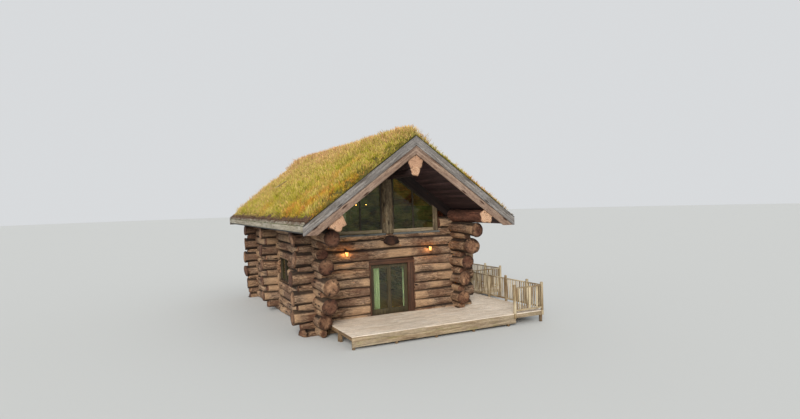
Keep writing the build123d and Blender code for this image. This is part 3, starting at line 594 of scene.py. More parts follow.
def makeGlass(name, tint, refraction, paintedReflectionStrength):
    # dark panes; a faint green glow in their emission is a painted reflection of the green around the cabin
    tree, sockets, place, weather = startFinish(name, scale=1.6)
    sockets["Base Color"].default_value = tint
    sockets["Transmission Weight"].default_value = 1.0
    sockets["IOR"].default_value = refraction
    # painted reflection: dark green patches glow faintly in the emission
    paintedReflection = mixColors(tree, weather["Patch"], (0.002, 0.002, 0.002, 1.0), (0.030, 0.036, 0.008, 1.0))
    paintedReflection = stained(tree, paintedReflection, weather["Growth"], 0.6, (0.060, 0.050, 0.014, 1.0))
    feed(tree, sockets["Emission Color"], paintedReflection)
    sockets["Emission Strength"].default_value = paintedReflectionStrength
    feed(tree, sockets["Roughness"], spread(tree, weather["Patch"], 0.0, 1.0, 0.0, 0.02))
    addBump(tree, sockets, noise(tree, place, 1.4, 2.0, 0.5), 0.05, 0.02)


def makeGlow(name, color, bright, strength):
    tree, sockets, place, weather = startFinish(name)
    share = spread(tree, noise(tree, place, 30.0, 2.0), 0.3, 0.7)
    glow = mixColors(tree, share, paint(*color), paint(*bright))
    feed(tree, sockets["Base Color"], glow)
    feed(tree, sockets["Emission Color"], glow)
    sockets["Emission Strength"].default_value = strength


def makePatched(name, scale, pattern, color, other, rough, metallic=0.0):
    # one colour with patches of another, for iron and rubber
    tree, sockets, place, weather = startFinish(name, scale=scale)
    feed(tree, sockets["Base Color"],
         stained(tree, paint(*color), weather[pattern], 0.5, paint(*other)))
    feed(tree, sockets["Roughness"], spread(tree, weather["Patch"], 0.0, 1.0, *rough))
    sockets["Metallic"].default_value = metallic


def makeCloth(name):
    # pale woven cotton with a green cast
    tree, sockets, place, weather = startFinish(name)
    weave = addNode(tree, "TexWave", {"Vector": place, "Scale": 160.0, "Distortion": 1.0},
                    bands_direction="X").outputs["Fac"]
    color = mixColors(tree, noise(tree, place, 40.0, 3.0), paint(176, 196, 160), paint(214, 224, 196))
    color = stained(tree, color, weave, 0.25, paint(150, 166, 134))
    feed(tree, sockets["Base Color"], color)
    sockets["Roughness"].default_value = 0.9
    sockets["Sheen Weight"].default_value = 0.2
    addBump(tree, sockets, weave, 0.2, 0.001)


def finishGround(tree, sockets, weather, color, bump):
    feed(tree, sockets["Base Color"], color)
    sockets["Roughness"].default_value = 0.95
    addBump(tree, sockets, weather["Relief"], *bump)


def makeSoil(name):
    # soil and roots under the grass, coloured by patches of the sward above it
    tree, sockets, place, weather = startFinish(name, scale=0.9)
    color = ramp(tree, noise(tree, place, 9.0, 6.0, 0.7), (0.3, paint(52, 40, 16)), (0.5, paint(104, 92, 26)),
                 (0.7, paint(150, 136, 40)))
    color = mixColors(tree, weather["Growth"], color, paint(84, 92, 24))
    side = calc(tree, "ABSOLUTE", separated(tree, place)[0])
    color = mixColors(tree, spread(tree, side, 4.15, 4.32), color, paint(92, 64, 46))
    color = stained(tree, color, weather["Speck"], 0.7, paint(40, 28, 12))
    finishGround(tree, sockets, weather, color, (0.9, 0.06))


def makeMoss(name):
    tree, sockets, place, weather = startFinish(name, scale=3.0)
    color = mixColors(tree, weather["Patch"], paint(44, 54, 14), paint(104, 112, 34))
    color = stained(tree, color, weather["Speck"], 0.6, paint(30, 26, 12))
    finishGround(tree, sockets, weather, color, (0.8, 0.02))


def makeBlades(name, colors):
    # blades carry their own height and tint; broad patches follow the roof
    rootAndShade, green, lime, straw, gold, rust, pink = (paint(*color) for color in colors)
    tree, sockets, place, weather = startFinish(name)
    blade = addNode(tree, "Attribute", attribute_name="blade").outputs["Vector"]
    height, tint, warmth = separated(tree, blade)
    patch = noise(tree, stretched(tree, place, (1.0, 0.7, 1.0)), 1.1, 5.0, 0.65, 0.4)
    share = calc(tree, "ADD", spread(tree, patch, 0.3, 0.7, 0.0, 0.5), times(tree, tint, 0.5))
    fresh = ramp(tree, share, (0.12, green), (0.42, lime), (0.68, straw), (0.92, gold))
    warm = ramp(tree, share, (0.1, lime), (0.35, gold), (0.65, rust), (0.9, straw))
    dry = ramp(tree, share, (0.1, lime), (0.35, straw), (0.6, pink), (0.9, straw))
    color = mixColors(tree, spread(tree, warmth, 0.55, 1.0), fresh, warm)
    color = mixColors(tree, spread(tree, warmth, 0.45, 0.05), color, dry)
    # darker towards each blade's foot: partly the grass's own colour there, partly painted shade low among the
    # tufts
    color = mixColors(tree, spread(tree, height, 0.0, 0.8), rootAndShade, color)
    feed(tree, sockets["Base Color"], color)
    feed(tree, sockets["Roughness"], spread(tree, tint, 0.0, 1.0, 0.55, 0.8))
    sockets["Specular IOR Level"].default_value = 0.2


# the last value is the strength of each glass's painted reflection
makeGlass("paneGlass", (0.30, 0.32, 0.24, 1.0), 1.28, 0.55)
makeGlass("doorGlass", (0.88, 0.93, 0.78, 1.0), 1.38, 0.35)
makeGlow("lampGlow", (255, 166, 72), (255, 226, 160), 18.0)
makeGlow("bulbGlow", (255, 160, 66), (255, 206, 124), 20.0)
makeGlow("amberGlass", (255, 160, 60), (255, 210, 130), 2.0)
makePatched("blackIron", 8.0, "Speck", (20, 20, 21), (54, 46, 40), (0.35, 0.6), 0.6)
makePatched("blackRubber", 4.0, "Growth", (22, 26, 22), (58, 66, 40), (0.5, 0.75))
makeCloth("curtainCloth")
makeSoil("turfBed")
makeMoss("mossGreen")
# the foot colour (partly painted shade), green, lime, straw, gold, rust and pink
makeBlades("grassBlades", ((88, 82, 24), (146, 150, 38), (204, 194, 66), (232, 212, 122), (228, 188, 66),
                           (220, 162, 66), (226, 192, 128)))
makeBlades("seedHeads", ((150, 120, 60), (176, 158, 80), (196, 170, 92), (224, 186, 126), (222, 156, 66),
                         (214, 132, 60), (222, 166, 134)))
print("other materials ready")

# Logs
logLook = {"sides": 24, "step": 0.17, "rim": 0.045, "reach": 0.6}
timberForms = {}


def roundTimber(cuts):
    # a unit log, standing on the origin, with ringed ends; made once for each number of cuts
    if cuts in timberForms:
        return timberForms[cuts]
    sides = logLook["sides"]
    form = cutCylinder(sides, cuts, location=(0, 0, 0.5))
    for share in (0.09, 0.22, 0.3):
        editOnly(form, "FACE", lambda face: abs(face.normal.z) > 0.9 and len(face.verts) == sides)
        bpy.ops.mesh.inset(thickness=share)
    bpy.ops.mesh.poke()
    bpy.ops.object.mode_set(mode="OBJECT")
    for face in form.data.polygons:
        face.material_index = 1 if abs(face.normal.z) > 0.9 else 0
        face.use_smooth = True
    timberForms[cuts] = form
    return form


def makeLog(name, start, end, startRadius, endRadius, own, holes=()):
    # bends, swells and knots are drawn from the log's own seed
    look = {"step": logLook["step"], "wood": ("logWood", "logEnds"), "bend": 0.014, "swell": 0.010,
            "ridge": 0.006, "knots": 1.6, "lean": 0.10, "lobes": 0.0, "flare": 0.0, "farFlare": 0.0,
            "rise": 0.0, "bell": 0.0, "widen": 0.0, **own}
    start, end = np.array(start, float), np.array(end, float)
    length = float(np.linalg.norm(end - start))
    along = (end - start) / length
    up = np.array((0.0, 0.0, 1.0)) if abs(along[2]) < 0.9 else np.array((0.0, 1.0, 0.0))
    side = np.cross(up, along)
    draw = np.random.default_rng(chance.randrange(10**6))
    stations = list(np.linspace(0, length, max(3, round(length / look["step"]) + 1)))
    axis = int(np.argmax(abs(along)))
    for low, high in holes:
        for place in (low[axis], high[axis]):
            distance = (place - start[axis]) * along[axis]
            if 0.02 < distance < length - 0.02:
                stations += [distance - 0.002, distance + 0.002]
    stations = np.array(sorted(stations))
    piece = copyPiece(roundTimber(len(stations) - 2), name)
    unit = points(piece)
    rings = np.rint(unit[:, 2] * (len(stations) - 1)).astype(int)
    run = stations[rings]
    share = run / length
    out = np.hypot(unit[:, 0], unit[:, 1])
    turn = np.arctan2(unit[:, 1], unit[:, 0])
    radius = startRadius + (endRadius - startRadius) * share
    radius *= 1 + look["flare"] * np.exp(-run / 0.5) + look["farFlare"] * np.exp((run - length) / 0.5)
    radius *= 1 + look["bell"] * np.exp(-np.minimum(run, length - run) / 0.12)
    phase = draw.uniform(0, 2 * math.pi, 24)
    relief = look["swell"] * np.sin(2 * turn + 2.1 * run + phase[0]) * np.sin(1.3 * run + phase[1])
    relief += look["swell"] * 0.8 * np.sin(3 * turn + phase[2]) * np.sin(3.7 * run + phase[3])
    for mode in range(5, 10):
        around = np.sin(mode * turn + 0.9 * run * (mode % 3) + phase[mode])
        relief += look["ridge"] * 0.6 * around * np.sin(0.8 * mode * run + phase[mode + 6])
    for _ in range(int(length * look["knots"])):
        place, angle = draw.uniform(0, length), draw.uniform(-math.pi, math.pi)
        size = draw.uniform(0.07, 0.13)
        gap = np.angle(np.exp(1j * (turn - angle))) * radius
        relief += draw.uniform(0.008, 0.022) * np.exp(-((run - place) ** 2 + gap**2) / size**2)
    if look["lobes"]:
        fade = np.exp(-np.minimum(run, length - run) / 0.25)
        lobes = 0.3 + np.sin(5 * turn + phase[20]) + 0.4 * np.sin(8 * turn + phase[21])
        relief += look["lobes"] * fade * lobes
    full = (radius + relief) * out
    bendUp = look["bend"] * np.sin(1.1 * run + phase[17]) + look["rise"] * np.exp(-run / 1.2)
    bendSide = look["bend"] * np.sin(0.9 * run + phase[18])
    # ends: a rounded rim, and a face that leans and is a little uneven
    atEnd = (rings == 0) | (rings == len(stations) - 1)
    inward = np.where(rings == 0, 1.0, -1.0)
    rim = atEnd & (out > 0.99)
    lean = draw.uniform(-look["lean"], look["lean"], 4)
    slant = np.where(rings == 0, lean[0] * unit[:, 0] + lean[1] * unit[:, 1],
                     lean[2] * unit[:, 0] + lean[3] * unit[:, 1]) * radius
    hollow = 0.018 * np.cos(2.4 * out + phase[19]) * np.cos(turn * 2 + phase[22])
    push = np.where(rim, logLook["rim"] * (1.0 if look["lean"] else 0.5), 0.0) * inward
    if look["lean"]:
        face = look["lean"] * radius * inward + slant + hollow * (1 - out) * inward
        push = push + np.where(atEnd, face, 0.0)
    x = full * np.cos(turn) * (1 + look["widen"] * np.exp(-run / 0.25))
    y = full * np.sin(turn)
    local = np.stack([run + push, x, y], axis=1)
    places = (start + np.outer(local[:, 0], along) + np.outer(x + bendSide, side)
              + np.outer(y + bendUp, np.cross(along, side)))
    middle = (start + end) / 2
    for low, high in holes:
        inside = np.ones(len(places), bool)
        for i in range(3):
            inside &= (places[:, i] > low[i]) & (places[:, i] < high[i])
        below = middle[2] < (low[2] + high[2]) / 2
        places[inside, 2] = low[2] if below else high[2]
    places[:, 2] = np.maximum(places[:, 2], 0.0)
    setPoints(piece, places)
    setVector(piece, "grainPlace", local + np.array([draw.uniform(0, 60), 0.0, 0.0]))
    coat(piece, *look["wood"])
    return piece


def endCircle(solid, axis, place):
    # the circle through the corners of a log's end
    near = solid[abs(solid[:, axis] - place) < 0.001]
    flat = near[:, [i for i in range(3) if i != axis]]
    terms = np.c_[2 * flat, np.ones(len(flat))]
    fit = np.linalg.lstsq(terms, (flat**2).sum(1), rcond=None)[0]
    centre = list(fit[:2])
    centre.insert(axis, place)
    return centre, math.sqrt(fit[2] + fit[0] ** 2 + fit[1] ** 2)


def grown(box, axis):
    # an opening's box, made to reach right through the wall
    low, high = list(box[0]), list(box[1])
    low[axis] -= logLook["reach"]
    high[axis] += logLook["reach"]
    return low, high


openings = {
    "front": [grown(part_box("door_trim"), 1), grown(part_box("gable_frame_front"), 1)],
    "back": [grown(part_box("gable_frame_back"), 1)],
    "left": [],
    "right": [],
}
for solid in solidsOf("window_frames"):
    low, high = solid.min(0), solid.max(0)
    if low[0] < 0 < high[0]:
        openings["back"].append(grown((low, high), 1))
    else:
        openings["left" if low[0] < 0 else "right"].append(grown((low, high), 0))

logNodes = {
    "front_sill_logs": (0, "front"), "front_wall_left": (0, "front"), "front_wall_right": (0, "front"),
    "front_wall_over_door": (0, "front"), "back_wall": (0, "back"), "left_wall": (1, "left"),
    "right_wall": (1, "right"), "cross_wall_ends": (0, ""), "joist_log": (1, ""),
}


def cutByOpening(place, axis, holes):
    return any(abs(place - box[i][axis]) < 0.004 for box in holes for i in (0, 1))


# How far some front ends of the side walls' logs rise or sink over their last metre
frontRises = {
    "left_wall": ((4.16, -0.10), (2.56, -0.15), (1.36, 0.04), (0.60, 0.08)),
    "right_wall": ((4.16, -0.13), (2.56, 0.05), (1.75, 0.11)),
}


def makeLogs(nodeName):
    axis, wall = logNodes[nodeName]
    holes = openings.get(wall, [])
    made = []
    for solid in solidsOf(nodeName):
        low, high = solid[:, axis].min(), solid[:, axis].max()
        start, startRadius = endCircle(solid, axis, low)
        end, endRadius = endCircle(solid, axis, high)
        # butts swell towards the root
        look = {"lean": 0.16}
        if startRadius > endRadius + 0.02:
            look.update({"flare": 0.14, "lean": 0.24})
        elif endRadius > startRadius + 0.02:
            look.update({"farFlare": 0.14, "lean": 0.24})
        for height, rise in frontRises.get(nodeName, ()):
            if abs(start[2] - height) < 0.06:
                look["rise"] = rise
        if cutByOpening(low, axis, holes) or cutByOpening(high, axis, holes):
            look.update({"lean": 0.0, "bend": 0.004})
        if nodeName == "joist_log":
            look.update({"wood": ("logWood", "darkEnds"), "lean": 0.16, "lobes": 0.012, "widen": 0.7})
        made.append(makeLog(nodeName, start, end, startRadius, endRadius, look, holes))
    settle(joined(made, nodeName + "_timbers"), "log_wood", [nodeName])


for nodeName in logNodes:
    makeLogs(nodeName)
print("wall logs ready")

beams = {
    "plateHeight": 4.66, "plateRadius": 0.27, "ridgeHeight": 6.92, "ridgeRadius": 0.34,
    "lobeRadius": 0.195, "lobeDrop": 0.39, "postRadius": 0.26, "postTaper": 0.94,
}


def makeBeams():
    carved = {"lean": 0.03, "lobes": 0.042, "knots": 0.6, "step": 0.09, "bell": 0.14,
              "wood": ("plateWood", "carvedEnds")}
    for side in ("left", "right"):
        low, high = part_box(f"plate_log_{side}")
        x, z = (low.x + high.x) / 2, beams["plateHeight"]
        piece = makeLog(f"plate_{side}_timber", (x, low.y, z), (x, high.y, z),
                        beams["plateRadius"], beams["plateRadius"], carved)
        settle(piece, "log_wood", [f"plate_log_{side}"])
    low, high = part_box("ridge_log")
    lobes = []
    for drop, radius in ((0.0, beams["ridgeRadius"]), (beams["lobeDrop"], beams["lobeRadius"])):
        z = beams["ridgeHeight"] - drop
        lobes.append(makeLog("ridgeLobe", (0, low.y, z), (0, high.y, z), radius, radius,
                             {**carved, "lobes": 0.016, "bell": -0.02, "wood": ("ridgeWood", "carvedEnds")}))
    settle(joined(lobes, "ridge_timber"), "log_wood", ["ridge_log"])
    for end in ("front", "back"):
        low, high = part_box(f"gable_post_{end}")
        y = (low.y + high.y) / 2
        post = makeLog(f"post_{end}_timber", (0, y, low.z), (0, y, beams["ridgeHeight"] - 0.4),
                       beams["postRadius"], beams["postRadius"] * beams["postTaper"],
                       {"lean": 0.0, "bend": 0.0, "knots": 4.0, "wood": ("postWood", "logEnds")})
        settle(post, "log_wood", [f"gable_post_{end}"])
    print("beams and posts ready")


makeBeams()
drop(*timberForms.values())

# Turf
turf = {
    "edge": 0.11, "crown": 0.30, "gable": 0.07, "inset": 0.06, "toeX": 4.5177, "cellsAcross": 48,
    "cellsAlong": 130,
    "bump": 0.05, "verge": 0.55,  # how far from a gable the turf reaches its full height
    "bare": 0.24,  # width of the bare soil at the eaves
    "tufts": 2450, "bladesInTuft": 20, "spread": 0.10, "headShare": 0.09, "tall": (0.16, 0.34),
    "bladeWidth": (0.009, 0.022), "lean": (0.15, 0.75), "highest": 0.26,
}


def turfTop(x, y):
    # the height of the turf's top over the roof, without its bumps
    share = np.clip(np.abs(x) / turf["toeX"], 0, 1)
    rise = turf["crown"] + (turf["edge"] - turf["crown"]) * np.clip((share - 0.5) / 0.5, 0, 1)
    toEnd = np.minimum(y - roof["frontY"] - turf["inset"], roof["backY"] - turf["inset"] - y)
    full = np.clip(toEnd / turf["verge"], 0, 1)
    rise = turf["gable"] + (rise - turf["gable"]) * np.sin(full * math.pi / 2)
    return roof["apex"] - roof["slabDrop"] + rise - roof["slope"] * np.abs(x)


def lumps(x, y, shift):
    total = np.zeros_like(x)
    for step, (size, amount) in enumerate(((0.7, 0.5), (1.6, 0.3), (3.9, 0.2), (7.3, 0.12))):
        total += amount * np.sin(size * 2.1 * x + 1.3 * step + shift) * np.cos(size * 1.7 * y + 2.1 * step)
        total += amount * 0.7 * np.sin(size * (x + 1.4 * y) + shift * 2 + step)
    return total


def makeTurfBed(side, sign):
    clearSelection()
    bpy.ops.mesh.primitive_grid_add(x_subdivisions=turf["cellsAcross"],
                                    y_subdivisions=turf["cellsAlong"], size=1)
    bed = bpy.context.object
    editAll(bed, (bpy.ops.mesh.extrude_region_move, {"TRANSFORM_OT_translate": {"value": (0, 0, 1)}}))
    unit = points(bed)
    x = (unit[:, 0] + 0.5) * turf["toeX"]
    long = roof["backY"] - roof["frontY"] - 2 * turf["inset"]
    y = roof["frontY"] + turf["inset"] + (unit[:, 1] + 0.5) * long
    inner = np.minimum(1.0, np.minimum(x / 0.4, (turf["toeX"] - x) / 0.2))
    top = turfTop(x, y) + turf["bump"] * lumps(x, y, 1.0 if sign > 0 else 4.0) * inner
    bottom = roof["apex"] - roof["slabDrop"] - roof["slope"] * x + 0.0005
    top = np.maximum(top, bottom + 0.04)
    setPoints(bed, np.stack([sign * x, y, np.where(unit[:, 2] > 0.5, top, bottom)], axis=1))
    turnOutward(bed)
    bpy.ops.object.shade_smooth_by_angle(angle=math.radians(50))
    bed.name = f"turf_bed_{side}"
    dress(bed, "turfBed", "turf", [f"turf_{side}"])


def meshPiece(name, corners, faces):
    mesh = bpy.data.meshes.new(name)
    mesh.from_pydata(corners.reshape(-1, 3).tolist(), [], faces.tolist())
    return linked(name, mesh)


def bladePiece(name, corners, tint, warm, finish):
    # one mesh of bent blades; each has five corners and three faces
    count = len(corners)
    base = np.arange(count)[:, None] * 5
    faces = np.concatenate([base + [0, 1, 3], base + [0, 3, 2], base + [2, 3, 4]], axis=1).reshape(-1, 3)
    piece = meshPiece(name, corners, faces)
    height = np.tile([0.0, 0.0, 0.55, 0.55, 1.0], count)
    setVector(piece, "blade", np.stack([height, np.repeat(tint, 5), np.repeat(warm, 5)], axis=1))
    piece.data.polygons.foreach_set("use_smooth", np.ones(len(faces), bool))
    dress(piece, finish, "turf")


def makeGrass(side, sign, end, low, high, seed):
    # tufts of blades that lean out of each tuft's heart
    draw = np.random.default_rng(seed)
    tufts = turf["tufts"]
    widest = turf["toeX"] - turf["bare"]
    heartX = draw.uniform(0.0, widest + 0.1, tufts)
    heartY = draw.uniform(low, high, tufts)
    heartTint = draw.uniform(0, 1, tufts)
    rough = 0.5 + 0.5 * np.sin(2.3 * heartX + 1.1 * heartY + seed) * np.sin(1.7 * heartY - 0.9 * heartX)
    heartTall = draw.uniform(*turf["tall"], tufts) * (0.75 + 0.5 * rough)
    which = np.repeat(np.arange(tufts), turf["bladesInTuft"])
    count = len(which)
    reach = np.abs(draw.normal(0, turf["spread"], count))
    angle = draw.uniform(0, 2 * math.pi, count)
    x = np.clip(heartX[which] + np.cos(angle) * reach, -0.04, turf["toeX"] - 0.03)
    y = np.clip(heartY[which] + np.sin(angle) * reach, roof["frontY"] + 0.03, roof["backY"] - 0.03)
    z = turfTop(x, y) - 0.03
    toEnd = np.minimum(y - roof["frontY"], roof["backY"] - y)
    tall = heartTall[which] * draw.uniform(0.6, 1.15, count) * (1.1 - np.clip(reach / 0.3, 0, 0.5))
    tall *= 0.45 + 0.55 * np.clip(toEnd / 0.6, 0, 1)
    tall *= 0.8 if side == "right" else 1.0
    tall *= np.where(x > widest, 0.45, 1.0)
    tall *= 1.0 + 0.5 * np.exp(-((x / 1.0) ** 2))
    tall = np.minimum(tall, turf["highest"] + 0.5 * np.clip(x, 0, 0.4))
    # rounder shoulders lean downhill; near a gable the blades lean over the boards
    lean = tall * draw.uniform(*turf["lean"], count)
    leanX = np.cos(angle) * lean + 0.12 * tall
    leanY = np.sin(angle) * lean
    leanY += np.where(y - roof["frontY"] < 0.25, -0.10, 0.0)
    leanY += np.where(roof["backY"] - y < 0.25, 0.10, 0.0)
    leanY = np.clip(y + leanY, roof["frontY"] - 0.06, roof["backY"] + 0.06) - y
    width = draw.uniform(*turf["bladeWidth"], count)
    face = angle + math.pi / 2 + draw.uniform(-0.8, 0.8, count)
    wide = np.stack([np.cos(face), np.sin(face)], axis=1) * width[:, None] / 2
    dry = 0.6 + 1.2 * (heartTint[which] > 0.5) + 1.6 * np.exp(-((x / 1.2) ** 2))
    head = draw.uniform(0, 1, count) < turf["headShare"] * dry
    corners = np.empty((count, 5, 3))
    forHead = head.astype(float)
    steps = (
        (0.45 * forHead, 0.3 * forHead, 1.0 - 0.8 * forHead),
        (0.6 + 0.22 * forHead, 0.35 + 0.35 * forHead, 0.8 + 0.9 * forHead),
        (1.0 + 0.12 * forHead, 1.0 + 0 * forHead, 0.0 * forHead),
    )
    for k, (up, out, size) in enumerate(steps):
        row = np.stack([x + leanX * out, y + leanY * out, z + tall * up], axis=1)
        corners[:, 2 * k:2 * k + 2] = row[:, None]
        if k < 2:
            corners[:, 2 * k, :2] += wide * size[:, None]
            corners[:, 2 * k + 1, :2] -= wide * size[:, None]
    corners[:, :, 0] *= sign
    tint = np.clip(heartTint[which] * 0.75 + draw.uniform(0, 0.25, count), 0, 1)
    # gold by the front verge and low on the slope, pink straw by the ridge and the back
    gold = np.exp(-((y - roof["frontY"]) / 3.4) ** 2) * np.clip(x / turf["toeX"] * 1.4, 0.3, 1)
    gold *= np.clip(0.5 + 0.9 * np.sin(1.9 * x + 0.8 * y + seed) * np.sin(2.7 * y - 1.3 * x), 0, 1)
    gold += 0.5 * np.exp(-((x - 4.0) / 0.5) ** 2) * np.clip(np.sin(1.3 * y + 0.5), 0, 1)
    straw = np.clip((y - 4.0) / 9.0, 0, 1) * 0.40
    straw += np.exp(-(x / (1.3 + 0.7 * np.sin(1.7 * y + 2.0) * np.sin(0.9 * y))) ** 2) * 0.40
    warm = np.clip(0.8 * gold - straw + 0.5, 0, 1)
    bladePiece(f"grass_{side}_{end}", corners[~head], tint[~head], warm[~head], "grassBlades")
    bladePiece(f"seed_heads_{side}_{end}", corners[head], tint[head], warm[head], "seedHeads")


looseLath = {"size": (0.8, 0.06, 0.024), "from": (-2.93, 8.42, 6.30), "to": (-2.40, 7.82, 6.68)}
eaves = {
    "twigs": 1500, "twigLength": (0.06, 0.24), "twigReach": 4.64, "mossStations": 420,
    "mossRadius": (0.008, 0.026), "mossHeight": 4.578,
}


def makeTwigs(side, sign, seed):
    # dead stems and roots on the bare soil, some hanging over the board
    draw = np.random.default_rng(seed)
    count = eaves["twigs"]
    x = turf["toeX"] + 0.05 - np.abs(draw.normal(0, 0.13, count))
    y = draw.uniform(roof["frontY"] + 0.1, roof["backY"] - 0.1, count)
    z = turfTop(np.minimum(x, turf["toeX"]), y) + draw.uniform(0.0, 0.03, count)
    long = draw.uniform(*eaves["twigLength"], count)
    turn = draw.normal(0, 0.9, count)
    down = -0.55 + draw.normal(0, 0.25, count)
    run = np.stack([np.cos(turn), np.sin(turn), down], axis=1) * long[:, None]
    run[:, 0] = np.minimum(run[:, 0], eaves["twigReach"] - x)
    start = np.stack([x, y, z], axis=1)
    size = draw.uniform(0.004, 0.011, count)
    rows = []
    for place, share in ((start, 1.0), (start + run, 0.5)):
        for corner in range(3):
            angle = 2.1 * corner
            offset = np.stack([np.zeros(count), np.cos(angle) * size, np.sin(angle) * size], axis=1)
            rows.append(place + offset * share)
    corners = np.stack(rows, axis=1)
    corners[:, :, 0] *= sign
    base = np.arange(count)[:, None] * 6
    faces = [base + corner for corner in ([0, 1, 4], [0, 4, 3], [1, 2, 5], [1, 5, 4], [2, 0, 3], [2, 3, 5],
                                          [0, 2, 1], [3, 4, 5])]
    piece = meshPiece(f"eave_twigs_{side}", corners, np.concatenate(faces))
    coat(piece, "twigWood")
    turnOutward(piece)
    settle(piece, "turf")


def makeMossLine(side, sign, seed):
    # a lumpy line of moss on the ledge between the two eave boards
    low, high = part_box(f"eave_boards_{side}")
    draw = np.random.default_rng(seed)
    stations = eaves["mossStations"]
    moss = cutCylinder(7, stations, axis=1, rotation=(math.radians(90), 0, 0))
    unit = points(moss)
    ring = np.rint((unit[:, 1] + 0.5) * (stations + 1)).astype(int)
    size = draw.uniform(*eaves["mossRadius"], stations + 2)[ring] * draw.uniform(0.7, 1.2, len(ring))
    x = sign * (abs(high.x if sign > 0 else low.x) - 0.022) + unit[:, 0] * size * 0.8
    y = low.y + 0.05 + (unit[:, 1] + 0.5) * (high.y - low.y - 0.1)
    setPoints(moss, np.stack([x, y, eaves["mossHeight"] + unit[:, 2] * size], axis=1))
    pick(moss)
    bpy.ops.object.shade_smooth()
    moss.name = f"eave_moss_{side}"
    dress(moss, "mossGreen", "turf")


def makeTurf():
    frontY = roof["frontY"] + turf["inset"]
    backY = roof["backY"] - turf["inset"]
    middleY = (frontY + backY) / 2
    for (side, sign), seed in zip(bothSides, (11, 23)):
        makeTurfBed(side, sign)
        makeGrass(side, sign, "front", frontY - 0.03, middleY, seed)
        makeGrass(side, sign, "back", middleY, backY + 0.03, seed + 1)
        makeTwigs(side, sign, seed + 2)
        makeMossLine(side, sign, seed + 3)
    makeLath()
    print("turf ready")


def makeLath():
    # a weathered lath left lying on the left slope
    half = Vector(looseLath["size"]) / 2
    lath = block(-half, half)
    bevelEdges(lath, 0.004)
    start, end = Vector(looseLath["from"]), Vector(looseLath["to"])
    turn = (end - start).to_track_quat("X", "Z").to_matrix().to_4x4()
    lath.data.transform(Matrix.Translation((start + end) / 2) @ turn)
    lath.name = "roof_lath"
    grainByLength(lath)
    dress(lath, "railWood", "turf")


makeTurf()

# Boards of the roof's edges, the gables and the openings, from the frame
eased = {
    "bargeboards_front": ("bargeWood", "barge_wood"), "bargeboards_back": ("bargeWood", "barge_wood"),
    "eave_boards_left": ("eaveWood", "eave_wood"), "eave_boards_right": ("eaveWood", "eave_wood"),
    "gable_rafters_front": ("gableWood", "dark_timber"), "gable_rafters_back": ("gableWood", "dark_timber"),
    "gable_frame_front": ("joinery", "joinery"), "gable_frame_back": ("joinery", "joinery"),
    "gable_sill_front": ("sillWood", "joinery"), "gable_sill_back": ("sillWood", "joinery"),
    "door_trim": ("redTimber", "red_timber"), "door_frame": ("doorWood", "joinery"),
    "window_frames": ("joinery", "joinery"), "deck_frame": ("bearerWood", "deck_wood"),
    "deck_posts": ("bearerWood", "deck_wood"), "floor_bearers": ("bearerWood", "bearer_wood"),
    "deck_fascia": ("fasciaWood", "deck_wood"),
}
sillNose = {"out": 0.05, "drop": 0.035}
asBuilt = {  # nodes that only take a finish
    "roof_slab_left": "roofBoards", "roof_slab_right": "roofBoards", "gable_glass_front": "paneGlass",
    "gable_glass_back": "paneGlass", "window_glass": "paneGlass", "door_glass_left": "doorGlass",
    "door_glass_right": "doorGlass", "door_handle": "blackIron", "floor": "floorWood",
}


def makeEasedPieces():
    for nodeName, (finish, slot) in eased.items():
        piece = softCopy(nodeName, 0.006)
        if nodeName.startswith("gable_sill"):
            # the sill's nose stands proud of the log below
            places = points(piece)
            out = -1 if nodeName.endswith("front") else 1
            middle = places.mean(0)
            places[:, 1] += np.where((places[:, 1] - middle[1]) * out > 0, sillNose["out"] * out, 0.0)
            places[:, 2] -= np.where(places[:, 2] < middle[2], sillNose["drop"], 0.0)
            setPoints(piece, places)
        grainByLength(piece)
        coat(piece, finish)
        if nodeName.startswith("bargeboards"):
            # the lower boards lie behind the outer ones and have kept a warmer colour
            piece.data.materials.append(finishes["lowerBargeWood"])
            places = points(piece)
            face = roof["frontY"] if nodeName.endswith("front") else roof["backY"]
            lower = np.zeros(len(places), bool)
            for group in islands(piece):
                lower[group] = abs(places[group, 1] - face).min() > 0.02
            for polygon in piece.data.polygons:
                polygon.material_index = int(lower[polygon.vertices[0]])
        settle(piece, slot, [nodeName])
    for side in ("left", "right"):
        piece = softCopy(f"door_leaf_{side}", 0.003)
        dress(piece, "doorWood", "door_joinery", [f"door_leaf_{side}"], f"door_{side}")
    for nodeName, finish in asBuilt.items():
        coat(nodes[nodeName], finish)
    print("boards and joinery ready")


makeEasedPieces()

# Boards that cover the outer jambs and the foot of the gable frames
jamb = {
    "inner": 2.26, "outer": 2.496, "thick": 0.024, "bottom": 4.018, "topDepth": 1.106,
    "railInner": 0.275, "railTop": 4.165,
}


def makeJambs():
    boards, rails = [], []
    for nodeName, end in (("gable_frame_front", 0), ("gable_frame_back", 1)):
        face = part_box(nodeName)[end].y
        near, far = sorted((face, face + (2 * end - 1) * jamb["thick"]))
        for side in (-1, 1):
            left, right = sorted((side * jamb["inner"], side * jamb["outer"]))
            board = block((left, near, jamb["bottom"]), (right, far, jamb["bottom"] + 1))
            places = points(board)
            top = places[:, 2] > jamb["bottom"] + 0.5
            places[top, 2] = roofLine(jamb["topDepth"], places[top, 0])
            setPoints(board, places)
            boards.append(board)
            left, right = sorted((side * jamb["railInner"], side * (jamb["inner"] - 0.002)))
            rails.append(block((left, near, jamb["bottom"]), (right, far, jamb["railTop"])))
    finishBoards(boards, "gable_jambs", "postWood", "joinery", bevel=0.004)
    finishBoards(rails, "gable_foot_boards", "fasciaWood", "joinery", bevel=0.004)
    print("jambs ready")


makeJambs()

# Strips of black membrane along the roof's edges
membrane = {"thick": 0.008, "proud": 0.012, "inward": 0.075, "lap": 0.006, "below": 0.004, "tall": 0.035}


